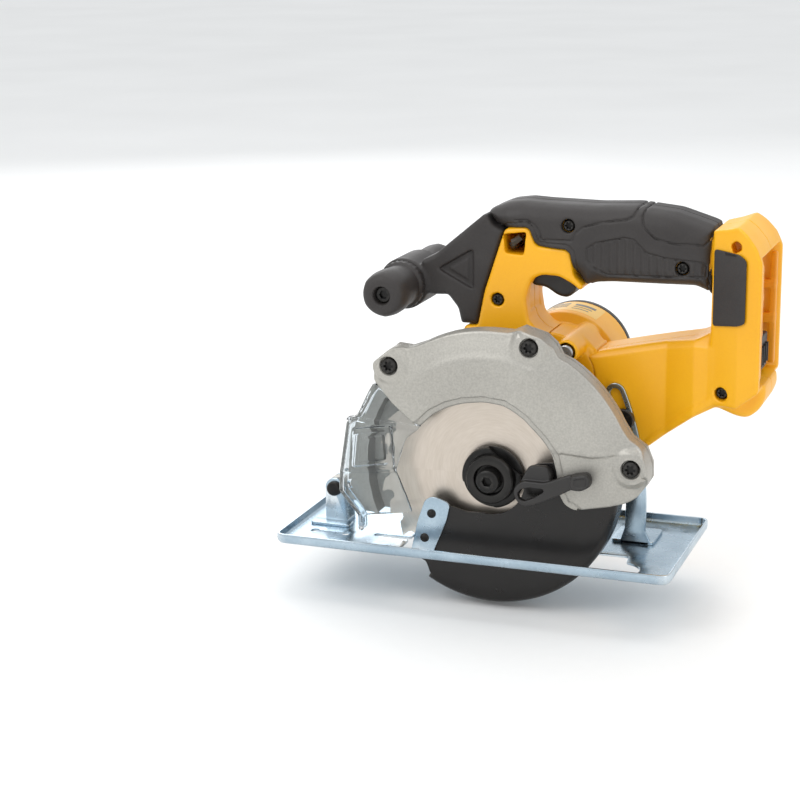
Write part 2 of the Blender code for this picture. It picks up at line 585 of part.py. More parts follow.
def handle_solid(name):
    """Whole yellow handle frame before it is parted into two shells."""
    near, far = MID_Y - LEG_HALF, MID_Y + LEG_HALF
    leg = [(-27, 60), (-26.5, 80.7), (-18.2, 80.9)] + panel_line() + [(38, 108.5), (30, 112.5), (20, 112.8), (14.5, 110),
                                                   (12.4, 105), (10.7, 98), (12.5, 86), (18, 80), (27, 77),
                                                   (27, 60)]
    frame = prism(name, leg, near, far)
    beam = [(40, 44), (46, 66), (52, 68.5), (75, 74), (91, 77), (91, 23), (80, 14), (68, 8), (56, 22)]
    middle = hull(f"{name}_middle", [(90, 32.4, 22.5), (90, 32.4, 77), (90, 61, 22.5), (90, 61, 77),
                                     (108, 25, 36.5), (108, 25, 81), (108, 60, 36.5), (108, 60, 81)])
    rear = hull(f"{name}_rear", mirrored([(107.5, 25, 36), (107.5, 25, 81), (122, 22, 45), (124, 22, 89)]))
    foot = hull(f"{name}_foot", mirrored([(118, 24, 45), (118, 24, 143), (134, 14, 46), (134, 14, 144.5),
                                          (146.5, 9, 61), (146.5, 9, 129), (143.5, 11, 136.5), (133, 15, 147)]))
    bulb = hull(f"{name}_bulb", mirrored([(121, 24, 43.8), (132.6, 21, 39.4), (138.8, 21, 38.6), (146, 22, 44.3),
                                          (149.4, 22, 53.4), (147.2, 12, 63), (124, 21, 62)]))
    join(frame, prism(f"{name}_core", core_line(0), MID_Y - CORE_HALF, MID_Y + CORE_HALF),
         prism(f"{name}_beam", beam, 32.4, 61), middle, rear, foot, bulb)
    cavity = hull(f"{name}_cavity", mirrored([(131, 20, 62), (131, 20, 126), (147.5, 12, 60), (147.5, 12, 129),
                                              (165, 12, 60), (165, 12, 129)]))
    inside = [(20, 119.5), (20, 137.5), (60, 137.5), (90, 139), (110, 135), (110, 127), (90, 126), (84, 119.5)]
    cut(frame, rod(f"{name}_barrel", MOTOR, BARREL_R + GAP, 10, 80, 28), cavity,
        prism(f"{name}_switch_room", inside, 31, 53), prism(f"{name}_trigger_room", TRIGGER_POCKET, 32, 52),
        prism(f"{name}_key_window", KEY_WINDOW, 10, 70),
        rod(f"{name}_depth_hole", DEPTH_BOLT, DEPTH_BOLT_R + 0.2, 25, 66),
        rod(f"{name}_lock_off_hole", LOCK_OFF, 4.7, 50, 70, 20))
    for key, (spot, seat, _) in SCREWS.items():
        cut(frame, rod(f"{name}_{key}_bore", spot, 1.9, 10, 53, 10),
            rod(f"{name}_{key}_seat", spot, 3.8, 0, seat, 14))
    return frame


LOCK_OFF = (30.0, 131.0)


def half_space(name, near):
    if near:
        return block(name, (-200, -60, -100), (200, MID_Y - 0.05, 250))
    return block(name, (-200, MID_Y + 0.05, -100), (200, 160, 250))


def build_handle():
    for name, near in (("handle_shell_near", True), ("handle_shell_far", False)):
        frame = handle_solid(name)
        keep(frame, half_space(f"{name}_half", near))
        place(frame, "yellow_nylon")


def build_sleeves():
    line = [(-8.4, 139.8), (-14.1, 146.3), (-11, 148.8), (-2.4, 152.6), (8.2, 154), (19, 153.2), (49, 152.5),
            (72, 153.5), (95, 151), (114.4, 145), (117.7, 143),
            (117.7, 104), (114, 107.5), (107, 110.3), (78.5, 110), (60, 109.8), (50, 109), (44.9, 106.8),
            (39.8, 114.2), (30, 118), (10, 130), (-1.8, 137.5)]
    grown = [(x, z) for x, z in panel_line()] + [(30, 100)]
    for name, near in (("grip_sleeve_near", True), ("grip_sleeve_far", False)):
        sleeve = prism(name, line, MID_Y - GRIP_HALF, MID_Y + GRIP_HALF)
        soften(sleeve, 7, 2, 60)
        cut(sleeve, prism(f"{name}_core", core_line(0.1), MID_Y - CORE_HALF - 0.1, MID_Y + CORE_HALF + 0.1),
            prism(f"{name}_panel", grown, 0, 90), prism(f"{name}_trigger", TRIGGER_POCKET, 32, 52))
        if near:
            for key in ("handle_screw_grip", "handle_screw_rear"):
                cut(sleeve, rod(f"{name}_{key}", SCREWS[key][0], 3.8, 0, 30, 14))
        else:
            cut(sleeve, rod(f"{name}_lock_off", LOCK_OFF, 4.8, 50, 70, 20))
        keep(sleeve, half_space(f"{name}_half", near))
        place(sleeve, "black_rubber")


def build_rear_pads():
    """Pads on the slanted faces of the foot, in two flat slabs that follow its bend."""
    low, middle, high = (118.3, 24 - 0.19, 90, 133.5), (134, 14, 92.6, 132.4), (138.4, 12.24, 94.4, 129.8)
    for name, side in (("rear_pad_near", 1), ("rear_pad_far", -1)):
        slabs = []
        for i, pair in enumerate(((low, middle), (middle, high))):
            spots = []
            for x, face, z0, z1 in pair:
                for y in (face - 0.3, face - 1.8):
                    across = y if side > 0 else 2 * MID_Y - y
                    spots += [(x, across, z0), (x, across, z1)]
            slabs.append(hull(f"{name}_{i}" if i else name, spots))
        place(join(*slabs), "black_rubber")


def build_handle_screws():
    for name, (spot, seat, length) in SCREWS.items():
        y = seat - 0.05
        profile = [(y - 3, 2.8), (y - 2.2, 3.5), (y, 3.5), (y, 1.8), (y + length, 1.8)]
        screw = turned(name, profile, spot, 14)
        cut(screw, rod(f"cut_{name}", spot, 1.7, y - 5, y - 1.6, 6))
        place(screw, "black_steel")


def build_controls():
    line = [(11.6, 104.8), (11.4, 110.5), (15.5, 114), (29, 114.3), (36, 109.5), (38.3, 105), (36, 101),
            (32, 98.4), (27, 99.2), (20, 104.2)]
    trigger = prism("trigger", line, MID_Y - TRIGGER_HALF, MID_Y + TRIGGER_HALF)
    soften(trigger, 1.5, 1, 50)
    place(trigger, "black_plastic", (TRIGGER_AXIS[0], MID_Y, TRIGGER_AXIS[1]))
    button = turned("lock_off_button", [(53.4, 4.4), (64.5, 4.4), (65.5, 3.4)], LOCK_OFF, 20)
    place(button, "black_plastic", (LOCK_OFF[0], 60, LOCK_OFF[1]))
    place(block("switch_module", (22, 31.3, 119.8), (50, 49.5, 137)), "black_plastic")
    place(block("terminal_block", (131.6, 28, 62.4), (143, 56, 82)), "black_plastic")
    key = bar("hex_key", (1.8, 29.0, 127.2), (1.8, 58, 127.2), 2.4)
    join(key, bar("hex_key_bend", (1.0, 29.4, 126.5), (7.8, 29.4, 132.8), 2.2))
    place(key, "bright_steel", (1.8, 42, 127.2))


def build_front_handle():
    arm_line = [(-29, 81.2), (-18.5, 81.4), (-14.5, 101.4), (-7.1, 123.6), (-2.7, 136.9), (-9, 139.2), (-14.6, 145.8),
                (-44.5, 121), (-53, 117), (-53, 99), (-47, 97), (-37, 97.5), (-31, 90)]
    arm = prism("front_arm", arm_line, 26, 58)
    join(arm, rod("arm_lug", GRIP_BAR, 15, 26, 58, 24))
    recess = [(-40, 113.5), (-24.5, 122.5), (-22, 106)]
    cut(arm, prism("cut_arm_recess", recess, 20, 28.5), rod("cut_arm_bolt", GRIP_BAR, 3.2, 20, 70, 16))
    place(arm, "black_plastic")
    profile = [(-10, 10.5), (-8, 13), (0, 13.5), (18, 12), (22, 13.8), (25.8, 13.8)]
    near = turned("front_grip_near", profile, GRIP_BAR, 24)
    cut(near, rod("cut_grip_near", GRIP_BAR, 3.2, -20, 30, 16), rod("cut_grip_head", GRIP_BAR, 5, -20, -2, 16))
    place(near, "black_plastic")
    far_profile = [(2 * MID_Y - y, r) for y, r in reversed(profile)]
    far = turned("front_grip_far", far_profile, GRIP_BAR, 24)
    cut(far, rod("cut_grip_far", GRIP_BAR, 3.2, 50, 85, 16))
    place(far, "black_plastic")
    bolt = turned("front_grip_bolt", [(-6, 4.7), (-2.05, 4.7), (-2.05, 3), (84.5, 3)], GRIP_BAR, 16)
    place(bolt, "black_steel")


# ---------------------------------------------------------------- shoe

def rounded_rectangle(x0, x1, z0, z1, radius):
    spots = []
    for x, z, a in ((x1 - radius, z1 - radius, 0), (x0 + radius, z1 - radius, 90),
                    (x0 + radius, z0 + radius, 180), (x1 - radius, z0 + radius, 270)):
        spots += arc((x, z), radius, a, a + 90, 3)
    return spots


def slab(name, outline, z0, z1):
    """Straight extrusion along Z of an (x, y) outline."""
    bm = bmesh.new()
    low = [bm.verts.new((x, y, z0)) for x, y in outline]
    high = [bm.verts.new((x, y, z1)) for x, y in outline]
    bm.faces.new(low)
    bm.faces.new(list(reversed(high)))
    count = len(outline)
    for i in range(count):
        j = (i + 1) % count
        bm.faces.new((low[i], high[i], high[j], low[j]))
    return solid(name, bm)


def build_shoe():
    (x0, x1), (y0, y1) = SHOE_X, SHOE_Y
    top = SOLE_Z + SHOE_RIM
    plate = slab("shoe_plate", rounded_rectangle(x0, x1, y0, y1, 6), SOLE_Z, top)
    inner = rounded_rectangle(x0 + SHOE_T, x1 - SHOE_T, y0 + SHOE_T, y1 - SHOE_T, 6 - SHOE_T)
    well = [(-52, -24), (-46, -26), (76, -26)] + arc((76, -13.5), 12.5, -80, 80, 6) + [(77, 9), (-46, 9), (-52, 7),
            (-52, 1.6), (-73, 1.6), (-73, -2.6), (-52, -2.6)]
    cut(plate, slab("cut_shoe_inside", inner, SOLE_Z + SHOE_T, 0), slab("cut_shoe_well", well, -60, -30),
        slab("cut_shoe_sight", [(-113, -6), (-111, -7), (-91, -7), (-89, -6), (-89, -2), (-91, -1), (-111, -1),
                                (-113, -2)], -60, -30))
    floor = SOLE_Z + SHOE_T
    place(plate, "zinc_plate", (SHOE_PIVOT[0], 20, SHOE_PIVOT[1]))
    px, pz = SHOE_PIVOT
    ear = [(px - 6, floor), (px - 6, pz)] + arc(SHOE_PIVOT, 6, 170, 10, 6) + [(px + 6, pz), (px + 8, floor)]
    front = prism("shoe_front_bracket", ear, 13.5, 26.5)
    cut(front, block("cut_front_bracket", (px - 20, 15.5, floor + 2), (px + 20, 24.5, 0)),
        rod("cut_front_pivot", SHOE_PIVOT, 2.5 + FIT, 10, 30))
    place(front, "zinc_plate", (px, 20, pz))
    half = 6.0
    band = (arc(SHOE_PIVOT, ARC_R + half, -4, SLOT_ANGLES[1], 10)
            + arc(polar(SHOE_PIVOT, ARC_R, SLOT_ANGLES[1]), half, SLOT_ANGLES[1] + 20, SLOT_ANGLES[1] + 160, 6)
            + arc(SHOE_PIVOT, ARC_R - half, SLOT_ANGLES[1], -4, 10) + [(66, floor), (85, floor)])
    rear = prism("shoe_rear_bracket", band, *BRACKET_Y)
    low, high = SLOT_ANGLES
    width = DEPTH_BOLT_R + 0.1
    slot = (arc(SHOE_PIVOT, ARC_R + width, low, high, 10)
            + arc(polar(SHOE_PIVOT, ARC_R, high), width, high + 20, high + 160, 5)
            + arc(SHOE_PIVOT, ARC_R - width, high, low, 10)
            + arc(polar(SHOE_PIVOT, ARC_R, low), width, low + 200, low + 340, 5))
    join(rear, block("rear_foot", (61, BRACKET_Y[0], floor), (86, 56, floor + 2)))
    cut(rear, prism("cut_depth_slot", slot, 25, 36))
    place(rear, "zinc_plate", (px, 20, pz))


def build_depth_clamp():
    r = DEPTH_BOLT_R
    bolt = turned("depth_bolt", [(26.4, 5.5), (27.2, 6.5), (29.8, 6.5), (29.8, r), (71, r)], DEPTH_BOLT, 16)
    place(bolt, "black_steel")
    bx, bz = DEPTH_BOLT
    lever = rod("depth_lever", DEPTH_BOLT, 9, 61.4, 70.5, 20)
    line = [(bx - 7, bz + 4), (bx - 5, bz + 30), (bx - 4.5, bz + 39), (bx + 2.5, bz + 40), (bx + 4, bz + 30),
            (bx + 7.5, bz + 4)]
    join(lever, prism("lever_arm", line, 63, 69.5))
    cut(lever, rod("cut_lever_bore", DEPTH_BOLT, r + FIT, 55, 75))
    place(lever, "black_plastic", (bx, 66, bz))


def main():
    build_blade()
    build_arbor()
    build_idler()
    build_rotor()
    build_gear_case()
    build_motor()
    build_cover()
    build_window()
    build_back()
    build_guard_screws()
    build_lower_guard()
    build_guard_lever()
    build_guard_spring()
    build_handle()
    build_sleeves()
    build_rear_pads()
    build_handle_screws()
    build_controls()
    build_front_handle()
    build_shoe()
    build_depth_clamp()


clear_scene()
SAW = make_collection("circular_saw")
TOOLS = make_collection("cutters")
main()
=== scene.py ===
"""Visual model of a cordless circular saw for metal, dressed round its CAD frame.

Lengths are millimetres in the saw's own frame until a mesh is written: the blade's centre is the
origin, +X runs back to the battery foot, +Y runs from the blade to the motor and +Z is up.
Outlines lie in the X-Z plane unless a docstring says otherwise.
"""

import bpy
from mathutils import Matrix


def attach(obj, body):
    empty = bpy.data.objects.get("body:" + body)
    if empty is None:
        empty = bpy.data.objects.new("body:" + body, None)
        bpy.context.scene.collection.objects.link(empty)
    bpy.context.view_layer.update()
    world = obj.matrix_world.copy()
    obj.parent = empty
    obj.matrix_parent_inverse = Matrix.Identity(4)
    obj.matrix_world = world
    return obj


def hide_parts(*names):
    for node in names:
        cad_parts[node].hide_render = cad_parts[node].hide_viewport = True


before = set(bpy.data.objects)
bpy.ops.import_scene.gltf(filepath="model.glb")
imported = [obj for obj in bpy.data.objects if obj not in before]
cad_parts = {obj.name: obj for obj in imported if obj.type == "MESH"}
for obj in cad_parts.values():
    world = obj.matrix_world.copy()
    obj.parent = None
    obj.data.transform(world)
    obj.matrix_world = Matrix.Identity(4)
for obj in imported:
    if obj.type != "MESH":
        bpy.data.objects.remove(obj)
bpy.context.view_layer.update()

import logging
from dataclasses import dataclass, field
from enum import Enum
from typing import Any, Callable, Sequence

import bmesh
import bpy
import numpy as np
import openvdb
from mathutils import Matrix, Vector
from mathutils.geometry import delaunay_2d_cdt

LOG = logging.getLogger("saw")
Array = np.ndarray
Shape = tuple[Array, list[list[int]]]
Height = Callable[[Array], Array]
SAW_ORIGIN = np.array([0.0, -0.045, 0.045])


# ---------------------------------------------------------------- numbers and outlines

def polar(centre: Sequence[float], radius: float | Array, degrees: float | Array) -> Array:
    """Points on a circle: centre plus radius times the cosine and sine of the angle."""
    angle = np.radians(degrees)
    return np.stack([centre[0] + radius * np.cos(angle), centre[1] + radius * np.sin(angle)], -1)


def arc(centre: Sequence[float], radius: float, start: float, end: float, count: int = 12) -> Array:
    """Points along an arc, both ends included, angles in degrees."""
    return polar(centre, radius, np.linspace(start, end, count))


def circle(centre: Sequence[float], radius: float, count: int = 40) -> Array:
    """Closed circle without its repeated last point."""
    return arc(centre, radius, 0.0, 360.0 - 360.0 / count, count)


def path(*pieces: Any) -> Array:
    """Joins points and runs of points into one (n, 2) array."""
    return np.concatenate([np.atleast_2d(np.asarray(p, float)) for p in pieces])


def rounded(points: Any, radius: float | Sequence[float], steps: int = 6) -> Array:
    """Closed outline with its corners rounded.

    Each corner becomes a quadratic curve from a point on its first edge to one on its second,
    both that radius away or as near as the edges allow.

    Args:
        points: Corners of the outline.
        radius: Distance from a corner at which its curve starts, for all corners or each one.
        steps: Points on each curve.

    Returns:
        The rounded outline.
    """
    p = np.asarray(points, float)
    before, after = np.roll(p, 1, 0) - p, np.roll(p, -1, 0) - p
    la, lb = np.linalg.norm(before, axis=1), np.linalg.norm(after, axis=1)
    reach = np.minimum(np.minimum(radius, 0.48 * la), 0.48 * lb)[:, None] + 1e-6
    a, b = p + before / la[:, None] * reach, p + after / lb[:, None] * reach
    t = np.linspace(0, 1, steps)[None, :, None]
    return ((1 - t) ** 2 * a[:, None] + 2 * t * (1 - t) * p[:, None] + t ** 2 * b[:, None]).reshape(-1, 2)


def even(outline: Array, step: float) -> Array:
    """Closed outline walked in equal steps along its length."""
    loop = np.vstack([outline, outline[:1]])
    run = np.concatenate([[0], np.cumsum(np.linalg.norm(np.diff(loop, axis=0), axis=1))])
    spots = np.linspace(0, run[-1], max(12, int(run[-1] / step)) + 1)[:-1]
    return np.stack([np.interp(spots, run, loop[:, i]) for i in (0, 1)], -1)


def turn(outline: Array) -> Array:
    """Outline running anticlockwise, from the sign of its area."""
    x, z = outline[:, 0], outline[:, 1]
    area = np.sum(x * np.roll(z, -1) - np.roll(x, -1) * z)
    return outline if area > 0 else outline[::-1]


def inset(outline: Array, distance: float | Array) -> Array:
    """Anticlockwise outline moved inwards, each point along its mitre: the sum of the two edge normals
    over one plus their dot product."""
    edge = np.roll(outline, -1, 0) - outline
    edge /= np.linalg.norm(edge, axis=1, keepdims=True) + 1e-12
    normal = np.stack([-edge[:, 1], edge[:, 0]], -1)
    last = np.roll(normal, 1, 0)
    mitre = (normal + last) / np.maximum(1 + np.sum(normal * last, 1, keepdims=True), 0.45)
    return outline + mitre * np.reshape(distance, (-1, 1))


def signed(points: Array, outline: Array) -> Array:
    """Distance from points to a closed outline, negative inside: the nearest edge's distance, with the
    sign from counting the edges a ray crosses."""
    p = points.reshape(-1, 1, 2)
    a, b = outline[None], np.roll(outline, -1, 0)[None]
    ab, ap = b - a, p - a
    t = np.clip(np.sum(ab * ap, -1) / (np.sum(ab * ab, -1) + 1e-12), 0, 1)
    near = np.sqrt(np.min(np.sum((ap - ab * t[..., None]) ** 2, -1), 1))
    crosses = (a[..., 1] > p[..., 1]) != (b[..., 1] > p[..., 1])
    side = ab[..., 0] * (p[..., 1] - a[..., 1]) / (ab[..., 1] + 1e-12 * (ab[..., 1] == 0)) + a[..., 0]
    inside = np.sum(crosses & (p[..., 0] < side), 1) % 2 == 1
    return np.where(inside, -near, near).reshape(points.shape[:-1])


def ease(value: Array) -> Array:
    """Smooth step from 0 to 1: three times the square less twice the cube of the clipped value."""
    v = np.clip(value, 0, 1)
    return v * v * (3 - 2 * v)


# ---------------------------------------------------------------- shapes

def stack(rings: Array, closed: bool = False, loop: bool = True, caps: bool = True) -> Shape:
    """Quads between rings of equal length.

    Args:
        rings: (m, n, 3) points; ring k joins ring k + 1.
        closed: The last ring joins the first.
        loop: Each ring's last point joins its first.
        caps: The first and last rings are filled with one face each.

    Returns:
        Vertices and faces.
    """
    m, n, _ = rings.shape
    rows = np.arange(m if closed else m - 1)[:, None]
    cols = np.arange(n if loop else n - 1)[None]
    up, right = (rows + 1) % m, (cols + 1) % n
    corners = [rows * n + cols, rows * n + right, up * n + right, up * n + cols]
    quads = np.stack(corners, -1).reshape(-1, 4).tolist()
    if caps and not closed:
        quads += [list(range(n))[::-1], list(range((m - 1) * n, m * n))]
    return rings.reshape(-1, 3), quads


class Drive(Enum):
    """Cross-sections a turned ring can take, as a radius factor of the angle."""

    ROUND = 0
    HEX = 1
    LOBED = 2
    RIBBED = 3

    def factor(self, angle: Array) -> Array:
        """Radius factor: one, a hexagon's flat, six lobes, or fine ribs round the ring."""
        if self is Drive.HEX:
            return 0.94 / np.cos((angle % (np.pi / 3)) - np.pi / 6)
        if self is Drive.LOBED:
            return 1 + 0.2 * np.cos(6 * angle)
        if self is Drive.RIBBED:
            return 1 + 0.018 * np.cos(28 * angle)
        return np.ones_like(angle)


def lathe(profile: Sequence[Sequence[Any]], centre: Sequence[float] = (0.0, 0.0), sides: int = 64,
          soft: float = 0.0, closed: bool = False) -> Shape:
    """Surface of revolution about a Y axis: every profile point (depth, radius) runs round a circle.

    Args:
        profile: Rows of depth, radius and, if not round, a Drive.
        centre: X and Z of the axis.
        sides: Points round each ring.
        soft: Rounding of the profile's inner corners, applied when every row is round.
        closed: The profile is a closed loop, so the shape is a ring.

    Returns:
        Vertices and faces, closed at both ends.
    """
    kinds = [row[2] if len(row) > 2 else Drive.ROUND for row in profile]
    line = np.array([row[:2] for row in profile], float)
    if soft and all(kind is Drive.ROUND for kind in kinds):
        reach = np.full(len(line), soft)
        if not closed:
            reach[[0, -1]] = 1e-4
        line = rounded(line, reach, 5)
        kinds = [Drive.ROUND] * len(line)
    angle = np.linspace(0, 2 * np.pi, sides, endpoint=False)
    factor = np.stack([kind.factor(angle) for kind in kinds])
    radius = line[:, 1:2] * factor
    rings = np.stack([centre[0] + radius * np.cos(angle), np.broadcast_to(line[:, :1], radius.shape),
                      centre[1] + radius * np.sin(angle)], -1)
    return stack(rings, closed=closed)


def sweep(line: Any, radius: float | Array, sides: int = 12) -> Shape:
    """Round wire along a line: at each point a circle in the plane across the line's direction."""
    p = np.asarray(line, float)
    along = np.gradient(p, axis=0)
    along /= np.linalg.norm(along, axis=1, keepdims=True)
    guide = np.where(np.abs(along[:, 2:3]) < 0.9, [[0.0, 0.0, 1.0]], [[1.0, 0.0, 0.0]])
    across = np.cross(along, guide)
    across /= np.linalg.norm(across, axis=1, keepdims=True)
    other = np.cross(along, across)
    angle = np.linspace(0, 2 * np.pi, sides, endpoint=False)[None, :, None]
    size = np.reshape(radius, (-1, 1, 1))
    return stack(p[:, None] + size * (np.cos(angle) * across[:, None] + np.sin(angle) * other[:, None]))


def combine(*shapes: Shape) -> Shape:
    """Several shapes as one list of vertices and faces."""
    starts = np.cumsum([0] + [len(s[0]) for s in shapes[:-1]])
    faces = [[i + start for i in face] for (_, some), start in zip(shapes, starts) for face in some]
    return np.vstack([s[0] for s in shapes]), faces


@dataclass
class Relief:
    """Sheet or casting seen from one side: a filled outline whose front and back are height fields.

    The caps are constrained triangulations of the outline, its holes, contour loops and inner points,
    and the wall carries a profile of (inset, height) rows round the outline.
    """

    outline: Array
    front: float | Height
    back: float | Height
    rim: list[tuple[Any, Any]] | None = None
    holes: list[Array] = field(default_factory=list)
    contours: list[Array] = field(default_factory=list)
    inner: Array | None = None
    edge: float = 0.5
    upright: bool = False

    def height(self, side: float | Height, points: Array) -> Array:
        """Height of a side at some points, whether it is a number or a function."""
        return side(points) if callable(side) else np.full(len(points), float(side))

    def cap(self, loops: list[Array], side: float | Height, inner: Array | None) -> Shape:
        """Triangles that fill the first loop and leave out the others, lifted to a side's height."""
        extra = [] if inner is None else [inner]
        points = np.concatenate(loops + self.contours + extra)
        edges, start = [], 0
        for loop in loops + self.contours:
            index = np.arange(len(loop))
            edges.append(np.stack([index, np.roll(index, -1)], -1) + start)
            start += len(loop)
        made = delaunay_2d_cdt(points.tolist(), np.concatenate(edges).tolist(), [], 0, 1e-5)
        spots, triangles = np.array([tuple(v) for v in made[0]]), np.array(made[2])
        middle = spots[triangles].mean(1)
        keep = signed(middle, loops[0]) < 0
        for hole in loops[1:]:
            keep &= signed(middle, hole) > 0
        verts = np.stack([spots[:, 0], self.height(side, spots), spots[:, 1]], -1)
        return verts, triangles[keep].tolist()

    def wall(self, loop: Array, rows: list[tuple[Any, Any]]) -> Shape:
        """Quads that carry (inset, height) rows round a loop; heights of None take the caps' own."""
        rings = []
        for i, (distance, level) in enumerate(rows):
            ring = inset(loop, distance)
            if level is None:
                level = self.height(self.front if i < len(rows) / 2 else self.back, ring)
            rings.append(np.stack([ring[:, 0], np.broadcast_to(level, len(ring)), ring[:, 1]], -1))
        return stack(np.array(rings), caps=False)

    def rows(self, loop: Array, way: float) -> list[tuple[Any, Any]]:
        """Default wall: both edges rounded over, as cosine and sine of a quarter turn."""
        top, bottom = self.height(self.front, loop), self.height(self.back, loop)
        e = np.minimum(self.edge, np.abs(bottom - top).min() * 0.45)
        sign = np.sign(np.mean(bottom - top))
        angle = np.radians([30, 60, 90])
        down = [(way * e * (1 - np.sin(a)), top + sign * e * (1 - np.cos(a))) for a in angle]
        up = [(way * e * (1 - np.sin(a)), bottom - sign * e * (1 - np.cos(a))) for a in angle[::-1]]
        return [(way * e, None)] + down + up + [(way * e, None)]

    def shape(self) -> Shape:
        """Both caps and all walls as one closed shape."""
        outline = turn(self.outline)
        holes = [turn(h) for h in self.holes]
        rim = self.rim or self.rows(outline, 1.0)
        bores = [self.rows(h, -1.0) for h in holes]
        front = [inset(outline, rim[0][0])] + [inset(h, b[0][0]) for h, b in zip(holes, bores)]
        back = [inset(outline, rim[-1][0])] + [inset(h, b[-1][0]) for h, b in zip(holes, bores)]
        parts = [self.cap(front, self.front, self.inner), self.cap(back, self.back, self.inner),
                 self.wall(outline, rim)] + [self.wall(h, b) for h, b in zip(holes, bores)]
        verts, faces = combine(*parts)
        return (verts[:, [0, 2, 1]] if self.upright else verts), faces


def plate(outline: Any, y0: float, y1: float, edge: float = 0.5, holes: Sequence[Array] = (),
          upright: bool = False) -> Shape:
    """Flat plate between two depths with rounded edges; upright plates lie in X-Y and rise along Z."""
    return Relief(np.asarray(outline, float), y0, y1, holes=list(holes), edge=edge, upright=upright).shape()


@dataclass
class Field:
    """Moulded solid as a signed distance sampled on a grid, positive outside, drawn where it is zero."""

    low: tuple[float, float, float]
    high: tuple[float, float, float]
    pitch: float = 0.8

    def __post_init__(self) -> None:
        """Grid lines along each axis, shaped so that they combine into the whole grid."""
        lines = [np.arange(a, b + self.pitch, self.pitch, dtype=np.float32)
                 for a, b in zip(self.low, self.high)]
        self.x, self.y, self.z = lines[0][:, None, None], lines[1][None, :, None], lines[2][None, None]

    def flat(self, outline: Any) -> Array:
        """Signed distance to an outline in the X-Z plane, the same at every depth."""
        x, z = np.broadcast_arrays(self.x[:, 0], self.z[0])
        grid = np.stack([x, z], -1)
        line = np.asarray(outline, float)
        rows = [signed(part, line) for part in np.array_split(grid, 12)]
        return np.concatenate(rows).astype(np.float32)[:, None, :]

    def both(self, a: Array, b: Array, r: float) -> Array:
        """Where two distances both hold, with the edge between them rounded to a radius."""
        u, v = a + r, b + r
        return np.hypot(np.maximum(u, 0), np.maximum(v, 0)) + np.minimum(np.maximum(u, v), 0) - r

    def prism(self, outline: Any, y0: Any, y1: Any, r: float = 0.0) -> Array:
        """Outline carried from one depth to another, both of which may change along X or Z."""
        return self.both(self.flat(outline), np.abs(self.y - (y0 + y1) / 2) - (y1 - y0) / 2, r)

    def rod(self, centre: Sequence[float], radius: Any, y0: float, y1: float, r: float = 0.0) -> Array:
        """Round bar along Y: distance to its axis less its radius."""
        across = np.hypot(self.x - centre[0], self.z - centre[1]) - radius
        return self.both(across, np.abs(self.y - (y0 + y1) / 2) - (y1 - y0) / 2, r)

    @staticmethod
    def join(a: Array, b: Array, k: float = 0.0) -> Array:
        """Union with a fillet about k wide: the lesser distance, less a quarter of the squared overlap."""
        if not k:
            return np.minimum(a, b)
        h = np.maximum(k - np.abs(a - b), 0) / k
        return np.minimum(a, b) - h * h * k / 4

    @classmethod
    def cut(cls, a: Array, b: Array, k: float = 0.0) -> Array:
        """What is left of a outside b, with a rounded edge about k wide."""
        return -cls.join(-a, b, k)

    def groove(self, body: Array, line: Array, width: float, depth: float) -> Array:
        """Channel of a width and depth where a second distance is zero."""
        return self.cut(body, np.maximum(np.abs(line) - width / 2, -(body + depth)), 0.5)

    def shape(self, body: Array) -> Shape:
        """Quads on the zero level of the sampled distance."""
        grid = openvdb.FloatGrid(3 * self.pitch)
        size = (self.x.size, self.y.size, self.z.size)
        values = np.clip(np.broadcast_to(body, size), -3 * self.pitch, 3 * self.pitch)
        values = np.pad(values, 1, constant_values=3 * self.pitch).astype(np.float32)
        grid.copyFromArray(np.ascontiguousarray(values))
        points, quads = grid.convertToQuads(0.0)
        return (points - 1) * self.pitch + np.array(self.low), quads.tolist()


# ---------------------------------------------------------------- finishes

def linear(colour: str) -> tuple[float, float, float, float]:
    """Linear colour with full alpha from an sRGB hex value."""
    c = np.array([int(colour[i:i + 2], 16) for i in (1, 3, 5)]) / 255
    low, high = c / 12.92, ((c + 0.055) / 1.055) ** 2.4
    return (*np.where(c <= 0.04045, low, high).tolist(), 1.0)


def add(tree: bpy.types.NodeTree, kind: str, inputs: dict[Any, Any] | None = None,
        **settings: Any) -> bpy.types.Node:
    """Adds a node, sets its properties, and sets or links its inputs."""
    node = tree.nodes.new(kind)
    for key, value in settings.items():
        setattr(node, key, value)
    for key, value in (inputs or {}).items():
        if isinstance(value, bpy.types.NodeSocket):
            tree.links.new(value, node.inputs[key])
        else:
            node.inputs[key].default_value = value
    return node


class Flow(Enum):
    """Way a finish's fine pattern runs over a piece."""

    EVEN = "even in all directions"
    ROUND = "in circles about the blade's axis"
    LENGTH = "stretched along X"
    HEIGHT = "stretched along Z"


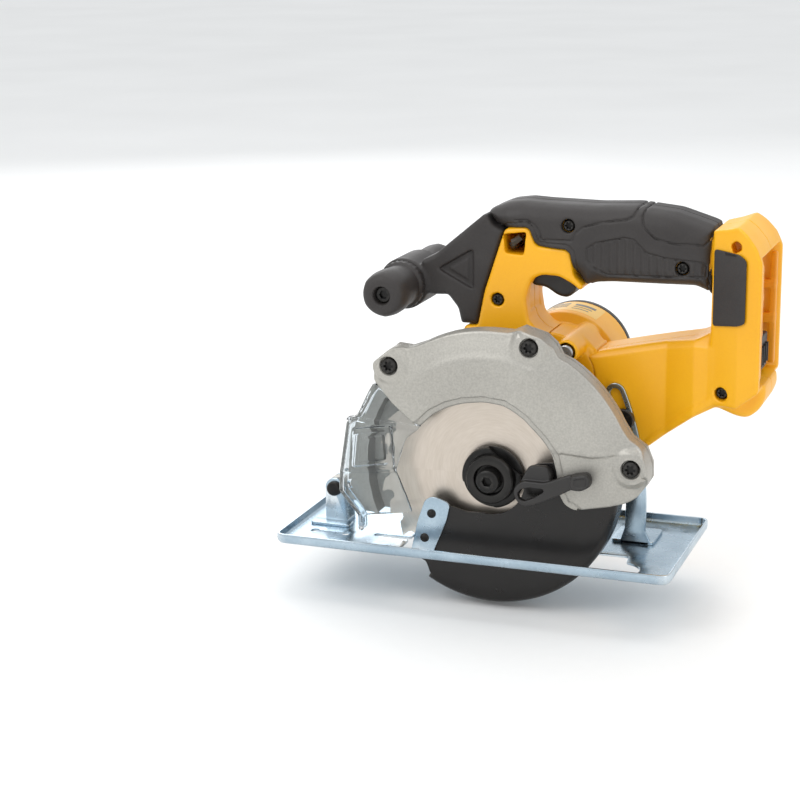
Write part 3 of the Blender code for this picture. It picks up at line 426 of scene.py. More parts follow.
@dataclass(frozen=True)
class Finish:
    """Surface of one real material: two tones mottled together, a fine relief and its gloss.

    Sizes are millimetres on the object; colours are sRGB hex.
    """

    name: str
    slot: str
    colour: str
    shade: str
    rough: float
    rough_swing: float = 0.08
    metal: float = 0.0
    grain: float = 0.5
    relief: float = 0.05
    mottle: float = 12.0
    speckle: float = 0.35
    flow: Flow = Flow.EVEN
    coat: float = 0.0
    clear: float = 0.0
    ior: float = 1.5
    worn: str = ""

    def place(self, tree: bpy.types.NodeTree) -> bpy.types.NodeSocket:
        """Coordinates of the pattern in metres, bent or stretched to its flow."""
        spot = add(tree, "ShaderNodeTexCoord").outputs["Object"]
        if self.flow is Flow.EVEN:
            return spot
        if self.flow is not Flow.ROUND:
            size = (0.05, 1, 1) if self.flow is Flow.LENGTH else (1, 1, 0.05)
            return add(tree, "ShaderNodeMapping", {"Vector": spot, "Scale": size}).outputs["Vector"]
        middle = add(tree, "ShaderNodeVectorMath", {0: spot, 1: tuple(-SAW_ORIGIN)},
                     operation="ADD").outputs[0]
        part = add(tree, "ShaderNodeSeparateXYZ", {0: middle}).outputs
        across = add(tree, "ShaderNodeCombineXYZ", {"X": part["X"], "Z": part["Z"]}).outputs[0]
        radius = add(tree, "ShaderNodeVectorMath", {0: across}, operation="LENGTH").outputs["Value"]
        angle = add(tree, "ShaderNodeMath", {0: part["Z"], 1: part["X"]}, operation="ARCTAN2").outputs[0]
        slow = add(tree, "ShaderNodeMath", {0: angle, 1: 0.004}, operation="MULTIPLY").outputs[0]
        return add(tree, "ShaderNodeCombineXYZ", {"X": radius, "Y": slow, "Z": part["Y"]}).outputs[0]

    def noise(self, tree: bpy.types.NodeTree, spot: bpy.types.NodeSocket, size: float, detail: float = 2.0,
              distort: float = 0.0) -> bpy.types.NodeSocket:
        """Noise whose blotches are about a size across: its scale is one over that size in metres."""
        return add(tree, "ShaderNodeTexNoise", {"Vector": spot, "Scale": 600.0 / size, "Detail": detail,
                                                "Distortion": distort}).outputs["Fac"]

    def span(self, tree: bpy.types.NodeTree, value: bpy.types.NodeSocket, low: float, high: float,
             start: float = 0.3, end: float = 0.7) -> bpy.types.NodeSocket:
        """Value from a start-to-end range stretched to low-to-high."""
        return add(tree, "ShaderNodeMapRange",
                   {"Value": value, "From Min": start, "From Max": end, "To Min": low,
                                                "To Max": high}).outputs["Result"]

    def mix(self, tree: bpy.types.NodeTree, amount: bpy.types.NodeSocket, a: Any,
            b: Any) -> bpy.types.NodeSocket:
        """Two colours mixed by an amount."""
        return add(tree, "ShaderNodeMix", {"Factor": amount, 6: a, 7: b}, data_type="RGBA").outputs[2]

    def tone(self, tree: bpy.types.NodeTree, spot: bpy.types.NodeSocket) -> bpy.types.NodeSocket:
        """Base colour: broad mottling between the tones plus a finer speckle towards the shade."""
        broad = self.span(tree, self.noise(tree, spot, self.mottle, 3.0), 0.0, 1.0 - self.speckle)
        fine = self.span(tree, self.noise(tree, spot, self.grain * 1.6), 0.0, self.speckle)
        amount = add(tree, "ShaderNodeMath", {0: broad, 1: fine}, operation="ADD", use_clamp=True).outputs[0]
        colour = self.mix(tree, amount, linear(self.colour), linear(self.shade))
        if self.worn:
            sharp = add(tree, "ShaderNodeNewGeometry").outputs["Pointiness"]
            edge = self.span(tree, sharp, 0.0, 0.75, 0.53, 0.6)
            colour = self.mix(tree, edge, colour, linear(self.worn))
        return colour

    def build(self) -> bpy.types.Material:
        """The material, made once and then found by name."""
        found = bpy.data.materials.get(self.name)
        if found:
            return found
        made = bpy.data.materials.new(self.name)
        made.use_nodes = True
        tree = made.node_tree
        shader = tree.nodes["Principled BSDF"]
        spot = self.place(tree)
        fine = self.noise(tree, spot, self.grain, 3.0)
        gloss = self.span(tree, self.noise(tree, spot, self.mottle * 0.6, 4.0), self.rough - self.rough_swing,
                          self.rough + self.rough_swing)
        bump = add(tree, "ShaderNodeBump", {"Height": fine, "Strength": 1.0, "Distance": self.relief * 0.001})
        tree.links.new(self.tone(tree, spot), shader.inputs["Base Color"])
        tree.links.new(gloss, shader.inputs["Roughness"])
        tree.links.new(bump.outputs["Normal"], shader.inputs["Normal"])
        shader.inputs["Metallic"].default_value = self.metal
        shader.inputs["Coat Weight"].default_value = self.coat
        shader.inputs["Coat Roughness"].default_value = 0.15
        shader.inputs["Transmission Weight"].default_value = self.clear
        if not self.metal:
            shader.inputs["IOR"].default_value = self.ior
        return made


# Die-cast aluminium in grey powder paint: a coarse, slightly sparkling grain with soft highlights.
CAST_PAINT = Finish("powder_painted_aluminium", "cast_grey", "#BBB8B0", "#A29F98", 0.44, 0.05, 0.55, 0.4,
                    0.05, 30.0, 0.6)
# Saw plate of hardened steel, ground in circles: warm grey with fine rings of glare.
BLADE_STEEL = Finish("ground_saw_steel", "blade_steel", "#D2C8BD", "#C3B8AB", 0.34, 0.05, 1.0, 0.3, 0.005,
                     6.0, 0.5, Flow.ROUND)
# Steel blackened in a hot oxide bath: almost black, oily satin.
OXIDE_STEEL = Finish("black_oxide_steel", "black_steel", "#2A2928", "#191817", 0.36, 0.08, 0.6, 0.5, 0.02,
                     5.0, 0.3, worn="#55524E")
# Sheet steel in satin black paint, drawn over a rim: smooth with a broad sheen.
GUARD_PAINT = Finish("black_enamelled_sheet", "guard_black", "#232120", "#1D1B1A", 0.3, 0.05, 0.35, 0.4,
                     0.015, 18.0, 0.3, worn="#6A6662")
# Sheet steel with clear-blue zinc plating: cold, bright, faintly cloudy.
ZINC_SHEET = Finish("blue_zinc_plated_sheet", "zinc_plate", "#B9CAD6", "#97ACBB", 0.28, 0.09, 1.0, 0.6, 0.012,
                    14.0, 0.25, worn="#EEF3F5")
# Glass-filled nylon coloured through and moulded against a spark-eroded tool: yellow, low sheen.
YELLOW_NYLON = Finish("moulded_yellow_nylon", "yellow_nylon", "#F6B400", "#EFA800", 0.42, 0.06, 0.0, 0.45,
                      0.03, 25.0, 0.3, coat=0.08, ior=1.53)
# The same yellow nylon coloured deeper orange as painted shade, for walls that are thin and out of the light.
SHADED_YELLOW_NYLON = Finish("moulded_yellow_nylon_painted_shade", "yellow_nylon", "#F0A012", "#E08F08", 0.45, 0.06, 0.0, 0.45, 0.03,
                     20.0, 0.3, ior=1.53)
# Thermoplastic elastomer moulded over the grip: warm black with a fine leathery grain and no hard glare.
GRIP_RUBBER = Finish("overmoulded_elastomer", "black_rubber", "#35312F", "#2A2625", 0.56, 0.06, 0.0, 0.5,
                     0.07, 16.0, 0.3, ior=1.5)
# Unfilled black nylon with a fine tool texture: a little harder and shinier than the grip.
BLACK_NYLON = Finish("moulded_black_nylon", "black_plastic", "#262321", "#1D1B1A", 0.46, 0.06, 0.0, 0.45,
                     0.04, 16.0, 0.3, ior=1.53)
# Injection-moulded polycarbonate left clear: sees through, bright at every bevel.
CLEAR_SHEET = Finish("clear_polycarbonate", "clear_window", "#F4F7F9", "#EAF0F3", 0.05, 0.02, 0.0, 2.0, 0.01,
                     30.0, 0.2, clear=1.0, ior=1.45)
# Turned and ground steel: neutral grey, bright.
BRIGHT_STEEL = Finish("turned_bright_steel", "bright_steel", "#B9BABB", "#9A9B9D", 0.28, 0.06, 1.0, 0.3, 0.01,
                      5.0, 0.4)
# Hobbed case-hardened gear steel and stacked motor sheets: darker grey with a skin of oil.
GEAR_STEEL = Finish("oiled_gear_steel", "gear_steel", "#8E8F91", "#6E6F72", 0.33, 0.07, 1.0, 0.4, 0.02, 6.0,
                    0.4)
# Hard-drawn spring wire: bright with lengthwise die marks.
SPRING_WIRE = Finish("drawn_spring_wire", "spring_steel", "#A9AAAD", "#8C8E92", 0.3, 0.06, 1.0, 0.3, 0.015,
                     5.0, 0.4)
# Pressed carbon of the motor brushes: dull, dusty black.
BRUSH_CARBON = Finish("pressed_carbon", "carbon", "#2B2B2B", "#1C1C1C", 0.8, 0.08, 0.0, 0.4, 0.05, 4.0, 0.5)
# Copper segments of the commutator, turned true: pink metal with a brown film.
TURNED_COPPER = Finish("turned_copper", "copper", "#C8805A", "#8F5638", 0.32, 0.08, 1.0, 0.4, 0.015, 4.0, 0.4)
# Thin printed film on the motor: pale amber, smooth.
PALE_FILM = Finish("printed_film_pale", "yellow_nylon", "#F2C766", "#EDBE58", 0.34, 0.04, 0.0, 0.6, 0.01,
                   15.0, 0.2)
# Grey ink blocks on that film, with no lettering.
INK_FILM = Finish("printed_film_grey", "black_plastic", "#6C6A66", "#7C7973", 0.4, 0.04, 0.0, 0.6, 0.01, 15.0,
                  0.2)


# ---------------------------------------------------------------- pieces

def make(name: str, shape: Shape, finish: Finish, body: str, replaces: Sequence[str] = (),
         angle: float = 35.0,
         merge: float = 0.001) -> bpy.types.Object:
    """Writes a shape as a finished piece at the origin, in metres, and fixes it to its body.

    Args:
        name: Piece name.
        shape: Vertices in saw millimetres and faces.
        finish: Its material.
        body: CAD body that it moves with.
        replaces: CAD nodes that it stands for.
        angle: Edges sharper than this many degrees stay sharp.
        merge: Distance in millimetres below which vertices are joined.

    Returns:
        The object.
    """
    verts, faces = shape
    mesh = bpy.data.meshes.new(name)
    mesh.from_pydata((verts * 0.001 + SAW_ORIGIN).tolist(), [], faces)
    bm = bmesh.new()
    bm.from_mesh(mesh)
    bmesh.ops.remove_doubles(bm, verts=bm.verts, dist=merge * 0.001)
    bmesh.ops.dissolve_degenerate(bm, edges=bm.edges, dist=1e-7)
    bmesh.ops.recalc_face_normals(bm, faces=bm.faces)
    bm.to_mesh(mesh)
    bm.free()
    mesh.shade_smooth()
    mesh.set_sharp_from_angle(angle=np.radians(angle))
    piece = bpy.data.objects.new(name, mesh)
    bpy.context.scene.collection.objects.link(piece)
    mesh.materials.append(finish.build())
    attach(piece, body)
    if replaces:
        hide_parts(*replaces)
    LOG.info("%s: %d faces on %s", name, len(mesh.polygons), body)
    return piece


def reuse(node: str, finish: Finish, body: str, bevel: float = 0.5, segments: int = 3,
          angle: float = 32.0) -> bpy.types.Object:
    """Stands a merged, edge-rounded copy of a CAD node in for it."""
    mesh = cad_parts[node].data.copy()
    mesh.name = node + "_dressed"
    bm = bmesh.new()
    bm.from_mesh(mesh)
    bmesh.ops.remove_doubles(bm, verts=bm.verts, dist=1e-6)
    bmesh.ops.dissolve_limit(bm, angle_limit=0.002, verts=bm.verts, edges=bm.edges)
    bm.to_mesh(mesh)
    bm.free()
    mesh.materials.clear()
    mesh.materials.append(finish.build())
    mesh.shade_smooth()
    piece = bpy.data.objects.new(node + "_dressed", mesh)
    bpy.context.scene.collection.objects.link(piece)
    step = piece.modifiers.new("rounded_edges", "BEVEL")
    step.width, step.segments, step.limit_method = bevel * 0.001, segments, "ANGLE"
    step.angle_limit = np.radians(angle)
    step.harden_normals = True
    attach(piece, body)
    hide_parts(node)
    LOG.info("%s: rounded copy on %s", node, body)
    return piece


def dress(finish: Finish, *nodes: str) -> None:
    """Gives CAD nodes that keep their shape a finished material."""
    for node in nodes:
        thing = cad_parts[node]
        if not thing.material_slots:
            thing.data.materials.append(None)
        for slot in thing.material_slots:
            slot.link = "OBJECT"
            slot.material = finish.build()


def screw(name: str, centre: Sequence[float], front: float, head: float, drop: float, shank: float,
          end: float) -> None:
    """Pan-head screw with a six-lobed recess, facing -Y.

    Args:
        name: CAD node that it stands for.
        centre: X and Z of its axis.
        front: Depth of the head's face.
        head: Head radius.
        drop: Head height.
        shank: Shank radius.
        end: Depth of the far end.
    """
    rows = [(front + 1.9, 0.0), (front + 1.8, 0.5 * head, Drive.LOBED),
            (front + 0.15, 0.5 * head, Drive.LOBED),
            (front, 0.56 * head, Drive.LOBED), (front, 0.74 * head), (front + 0.18 * drop, 0.9 * head),
            (front + 0.42 * drop, 0.985 * head), (front + 0.6 * drop, head), (front + drop, head),
            (front + drop, shank), (end - 0.3, shank), (end, shank - 0.3), (end, 0.0)]
    make(name + "_detail", lathe(rows, centre, 48), OXIDE_STEEL, "saw_body", [name], 30)


# ---------------------------------------------------------------- blade and arbor

@dataclass
class BladeSet:
    """Toothed blade with the flanges and bolt that hold it on the spindle."""

    radius: float = 70.0
    teeth: int = 30
    half: float = 0.6
    bore: float = 10.0
    chord: float = 13.0

    def outline(self) -> Array:
        """Tooth after tooth: a tip, a raked face down to a round gullet, and a back that climbs again."""
        step = 360.0 / self.teeth
        radii = np.array([70.0, 69.9, 66.5, 64.2, 63.3, 63.6, 65.0, 66.6, 67.6, 68.6, 69.4])
        turns = np.array([0.0, 0.08, 0.05, 0.10, 0.24, 0.38, 0.47, 0.50, 0.62, 0.80, 0.95])
        angles = (np.arange(self.teeth)[:, None] + turns) * step
        return polar((0, 0), np.broadcast_to(radii, angles.shape), angles).reshape(-1, 2)

    def flange_shape(self) -> Shape:
        """Turned flange whose front half has two flats: points past the chord slide back onto it."""
        rows = [(-8.0, 0.0), (-8.0, 8.4), (-8.4, 8.8), (-10.7, 8.8), (-11.0, 9.2), (-11.0, 12.6),
                (-10.8, 13.3), (-10.0, 14.0), (-8.0, 14.2), (-6.4, 14.2), (-6.0, 14.5), (-6.0, 16.8),
                (-5.7, 17.5), (-5.0, 17.9), (-4.0, 18.0), (-3.02, 18.0), (-3.0, 18.0), (-0.9, 18.0),
                (-0.6, 17.7), (-0.6, 0.0)]
        verts, faces = lathe(rows, sides=96)
        normal = np.array([0.6, 0.0, 0.8])
        reach = verts @ normal
        over = np.where((verts[:, 1] < -3.01) & (verts[:, 1] > -7.9),
                        np.maximum(np.abs(reach) - self.chord, 0), 0)
        return verts - np.sign(reach)[:, None] * over[:, None] * normal, faces

    def build(self) -> None:
        """Blade, outer flange and bolt; the hidden inner flange and spindle keep their shapes."""
        make("blade_plate",
             plate(self.outline(), -self.half, self.half, 0.12, [circle((0, 0), self.bore, 64)]),
             BLADE_STEEL, "arbor", ["blade"], 30)
        make("flange_turned", self.flange_shape(), OXIDE_STEEL, "arbor", ["outer_flange"], 28)
        rows = [(-12.0, 0.0), (-12.0, 2.7, Drive.HEX), (-14.7, 2.7, Drive.HEX), (-15.0, 3.1, Drive.HEX),
                (-15.0, 4.6), (-14.8, 5.6), (-14.2, 6.5), (-13.4, 6.9), (-12.6, 7.0), (-8.0, 7.0),
                (-8.0, 4.0), (20.0, 4.0), (20.0, 0.0)]
        make("bolt_turned", lathe(rows, sides=72), OXIDE_STEEL, "arbor", ["blade_bolt"], 28)
        dress(OXIDE_STEEL, "inner_flange")
        dress(GEAR_STEEL, "spindle", "spindle_gear", "idler_shaft", "idler_gear")


# ---------------------------------------------------------------- upper guard

@dataclass
class UpperGuard:
    """Two castings round the top of the blade, joined by three screws."""

    radius: float = 86.0
    flat: float = 71.0
    front: float = -14.0
    slope_end: float = -8.6
    wall: float = 2.8
    ears: tuple[tuple[float, float], ...] = ((-58.9, 62.9), (24.0, 79.0), (82.4, 14.4))
    ear_level: float = -12.6
    crease: tuple[tuple[float, ...], tuple[float, ...]] = ((39.0, 60.0, 75.0), (20.0, 18.5, 21.0))

    def top_edge(self) -> Array:
        """Shared upper edge from the rear bottom corner over the ears to the front."""
        rear = [(78, -7), (84, -4), (89, 2.4), (92, 7.5), (91.8, 16), (88.2, 24.8), (80.4, 30)]
        top = [(40, 73.5), (36.4, 80), (30.4, 85), (18, 88.6), (11.5, 85.6)]
        front = [(-48.8, 72.8), (-57.5, 73.6), (-69.5, 63.6), (-70.6, 52.5)]
        return path(rear, arc((0, 0), self.radius - 1.6, 26, 57, 24), top,
                    arc((0, 0), self.radius, 87, 118, 26), front)

    def opening(self) -> Array:
        """Edge of the blade opening, from the window joint down to the bottom rear corner."""
        return path([(-41.2, 28), (-33, 36.2), (-24, 41.2), (-14.6, 44.2), (-2.5, 45.8), (9, 44.6),
                     (15.5, 41.2), (21.3, 37.2), (32.2, 26.2), (37.6, 18.4), (40.2, 8), (41, -2.5),
                     (44.7, -9.8), (50.6, -12.6)])

    def outline(self) -> Array:
        """Whole cover outline, its corners eased and its edge walked in equal steps."""
        return even(turn(rounded(path(self.top_edge(), self.opening()), 2.6, 5)), 1.5)

    def face(self, points: Array) -> Array:
        """Depth of the outer face: flat, then curving back past the flat radius; lowered along the opening's
        band, below the crease and round each ear, and raised in a tab outside each ear's screw."""
        r = np.hypot(points[:, 0], points[:, 1])
        out = np.clip((r - self.flat) / (self.radius - self.flat), 0, 1.4)
        depth = self.front + (self.slope_end - self.front) * (0.12 * ease(out * 6) + 0.88 * out ** 1.1)
        band = self.band_distance(points)
        depth = depth + 1.7 * ease((4.2 - band) / 1.5)
        depth = depth + 1.3 * ease((1.6 - self.crease_side(points)) / 1.8) * ease((points[:, 0] - 36) / 6)
        for x, z in self.ears:
            away = np.hypot(points[:, 0] - x, points[:, 1] - z)
            outward = ((points[:, 0] - x) * x + (points[:, 1] - z) * z) / np.hypot(x, z)
            sideways = np.abs((points[:, 0] - x) * z - (points[:, 1] - z) * x) / np.hypot(x, z)
            pad = ease((12.5 - away) / 4.0)
            depth = depth * (1 - pad) + self.ear_level * pad
            tab = ease((outward - 5.6) / 1.2) * ease((9.6 - outward) / 1.5) * ease((6.5 - sideways) / 1.4)
            depth = depth - 1.4 * tab
            lip = ease((away - 5.3) / 0.5) * ease((7.2 - away) / 1.2)
            depth = depth - 0.5 * lip
        return np.minimum(np.maximum(depth, self.front), -7.0)

    def band_distance(self, points: Array) -> Array:
        """Distance to the open edge line, taken as a chain of its points."""
        line = self.opening()
        a, b = line[:-1][None], line[1:][None]
        ap, ab = points[:, None] - a, b - a
        t = np.clip(np.sum(ap * ab, -1) / np.sum(ab * ab, -1), 0, 1)
        return np.sqrt(np.min(np.sum((ap - ab * t[..., None]) ** 2, -1), 1))

    def crease_side(self, points: Array) -> Array:
        """Height above the crease that runs from the opening to the rear ear."""
        return points[:, 1] - np.interp(points[:, 0], *self.crease)

    def inside(self, points: Array) -> Array:
        """Depth of the inner face: one wall behind the flat, then sloping back with the outside."""
        r = np.hypot(points[:, 0], points[:, 1])
        return np.interp(r, [0, 69, 71, 82, 95], [-11.4, -11.4, -11.2, -8.0, -8.0])

    def rim(self, outline: Array) -> list[tuple[Any, Any]]:
        """Wall rows: rounded outer corner, straight flank, then the wall's thickness and the inner flank.
        Along the opening the flank is only as deep as the sheet."""
        open_edge = ease((2.2 - self.band_distance(outline)) / 0.8)
        top = self.face(inset(outline, 1.3))
        foot = -0.6 * (1 - open_edge) + self.inside(outline) * open_edge
        wall = self.wall * (1 - open_edge) + 0.5 * open_edge
        return [(1.3, None), (0.75, top + 0.12), (0.3, top + 0.5), (0.05, top + 1.1),
                (0.0, np.minimum(top + 1.7, foot - 0.1)),
                (0.0, foot - 0.05), (0.1, foot), (wall - 0.1, foot), (wall, foot - 0.04), (wall, None)]

    def lattice(self) -> Array:
        """Inner points of the caps on circles about the blade's axis, closer together where the face slopes,
        with rings round each ear."""
        radii = np.concatenate([np.arange(44, 69, 3.0), np.arange(69, 94, 1.3)])
        rings = np.concatenate([circle((0, 0), r, int(r * 1.6)) for r in radii])
        ear_rings = (6.0, 6.6, 7.4, 8.6, 9.6, 10.8, 12.4)
        ears = np.concatenate([circle(e, r, 30) for e in self.ears for r in ear_rings])
        edge = self.opening()
        dense = np.stack([np.interp(np.linspace(0, len(edge) - 1, 120), np.arange(len(edge)),
                                    edge[:, i]) for i in (0, 1)], -1)
        way = np.gradient(dense, axis=0)
        way /= np.linalg.norm(way, axis=1, keepdims=True)
        side = np.stack([-way[:, 1], way[:, 0]], -1)
        offsets = (2.2, 2.8, 3.3, 3.8, 4.3, -2.2, -2.8, -3.3, -3.8, -4.3)
        bands = np.concatenate([dense + side * s for s in offsets])
        along = np.arange(43.0, 76.0, 1.1)
        line = np.interp(along, *self.crease)
        crease = np.concatenate([np.stack([along, line + s], -1) for s in (1.8, 1.2, 0.6, 0.0, -0.5)])
        points = np.concatenate([rings, ears, bands, crease])
        outline = self.outline()
        near_ear = np.min([np.hypot(*(points - e).T) for e in self.ears], 0)
        return points[(signed(points, outline) < -3.2) & (near_ear > 5.6)]

    def build(self) -> None:
        """Cover with its counterbored ears, then the back casting and the screws."""
        outline = self.outline()
        holes = [circle(e, 5.2, 28) for e in self.ears]
        cover = Relief(outline, self.face, self.inside, self.rim(outline), holes, inner=self.lattice(),
                       edge=0.5)
        seats = [lathe([(-10.3, 2.3), (-10.3, 5.6), (-0.2, 5.6), (-0.2, 2.3)], e, 28,
                       closed=True) for e in self.ears]
        make("cover_casting", combine(cover.shape(), *seats), CAST_PAINT, "saw_body", ["upper_guard_cover"],
             32)
        reuse("upper_guard_back", CAST_PAINT, "saw_body", 0.6)
        for name, ear in zip(("guard_screw_front", "guard_screw_top", "guard_screw_rear"), self.ears):
            screw(name, ear, -13.8, 4.7, 3.4, 2.2, 8.0)
        rows = [(10.6, 0.0), (10.6, 3.0), (10.9, 3.9), (11.6, 4.4), (12.4, 4.5), (13.2, 4.5), (13.2, 2.5),
                (28.5, 2.5), (28.5, 0.0)]
        make("pivot_pin_turned", lathe(rows, (-105, -22), 36), OXIDE_STEEL, "saw_body", ["pivot_pin"], 30)


@dataclass
class ChipWindow:
    """Clear cover over the cut line with its raised lens frame."""

    wall: float = 2.0
    y: float = -12.0

    def shell(self) -> Shape:
        """Clear pan: a face, and side walls only along the front, cut open towards the blade."""
        grid = Field((-96, -16.5, -42), (-36, 2, 58), 0.5)
        outer = rounded([(-69.8, 51.6), (-73, 46), (-80, 31), (-86, 28), (-91, -3), (-92, -15), (-84, -25),
                         (-80.5, -29), (-80.5, -38.5), (-77.5, -38.5), (-76, -28.5), (-46.5, -24),
                         (-50, -14), (-56, 1), (-50, 20), (-41, 27.5)], 2.0)
        hollow = rounded([(-64, 52), (-70.5, 44.5), (-78, 30), (-84, 26.5), (-89, -3.5), (-90, -15),
                          (-82.5, -24), (-78.5, -29.5), (-78.5, -60), (-20, -60), (-20, 60),
                          (-56, 60)], 1.5)
        tilt = np.clip((grid.z - 28.5) * 0.11, 0, 2.4) + np.clip((-2.0 - grid.z) * 0.05, 0, 1.2)
        body = grid.prism(outer, -12.0 + tilt, -0.1, 0.9)
        rib = grid.prism(rounded([(-86, 29), (-84.5, 31), (-40, 29), (-43, 26)], 0.5), -12.8, -8.0, 0.3)
        shelf = grid.prism(rounded([(-90.5, -1.5), (-90.5, -3.6), (-56, 0.2), (-56, 2.4)], 0.5), -13.0, -8.0,
                           0.3)
        body = grid.join(grid.join(body, rib, 0.5), shelf, 0.5)
        frame_line = rounded([(-82, 24.2), (-57.6, 28), (-56.2, 2.5), (-84.2, -1.3)], 1.6)
        body = grid.join(body, grid.prism(frame_line, -15.0, -10.0, 0.5), 0.5)
        body = grid.cut(body,
                        grid.prism(rounded([(-79.4, 21.2), (-60.2, 24.8), (-59.2, 5.4), (-81.4, 1.6)], 1.4),
                                         -20, -13.0, 0.4), 0.4)
        body = grid.join(body,
                         grid.prism(rounded([(-77, 18.8), (-62.4, 22), (-61.6, 7.6), (-78.8, 4.2)], 1.2),
                                    -13.9,
                                          -12.0, 0.5), 0.4)
        body = grid.cut(body, grid.rod((-82, -9.5), 3.0, -20, -11.2, 0.3), 0.4)
        body = grid.cut(body, grid.prism(hollow, -10.0 + tilt, 8, 0.5), 0.3)
        return grid.shape(body)

    def build(self) -> None:
        """Window in clear polycarbonate."""
        make("window_clear", self.shell(), CLEAR_SHEET, "saw_body", ["chip_window"], 50)


# ---------------------------------------------------------------- lower guard

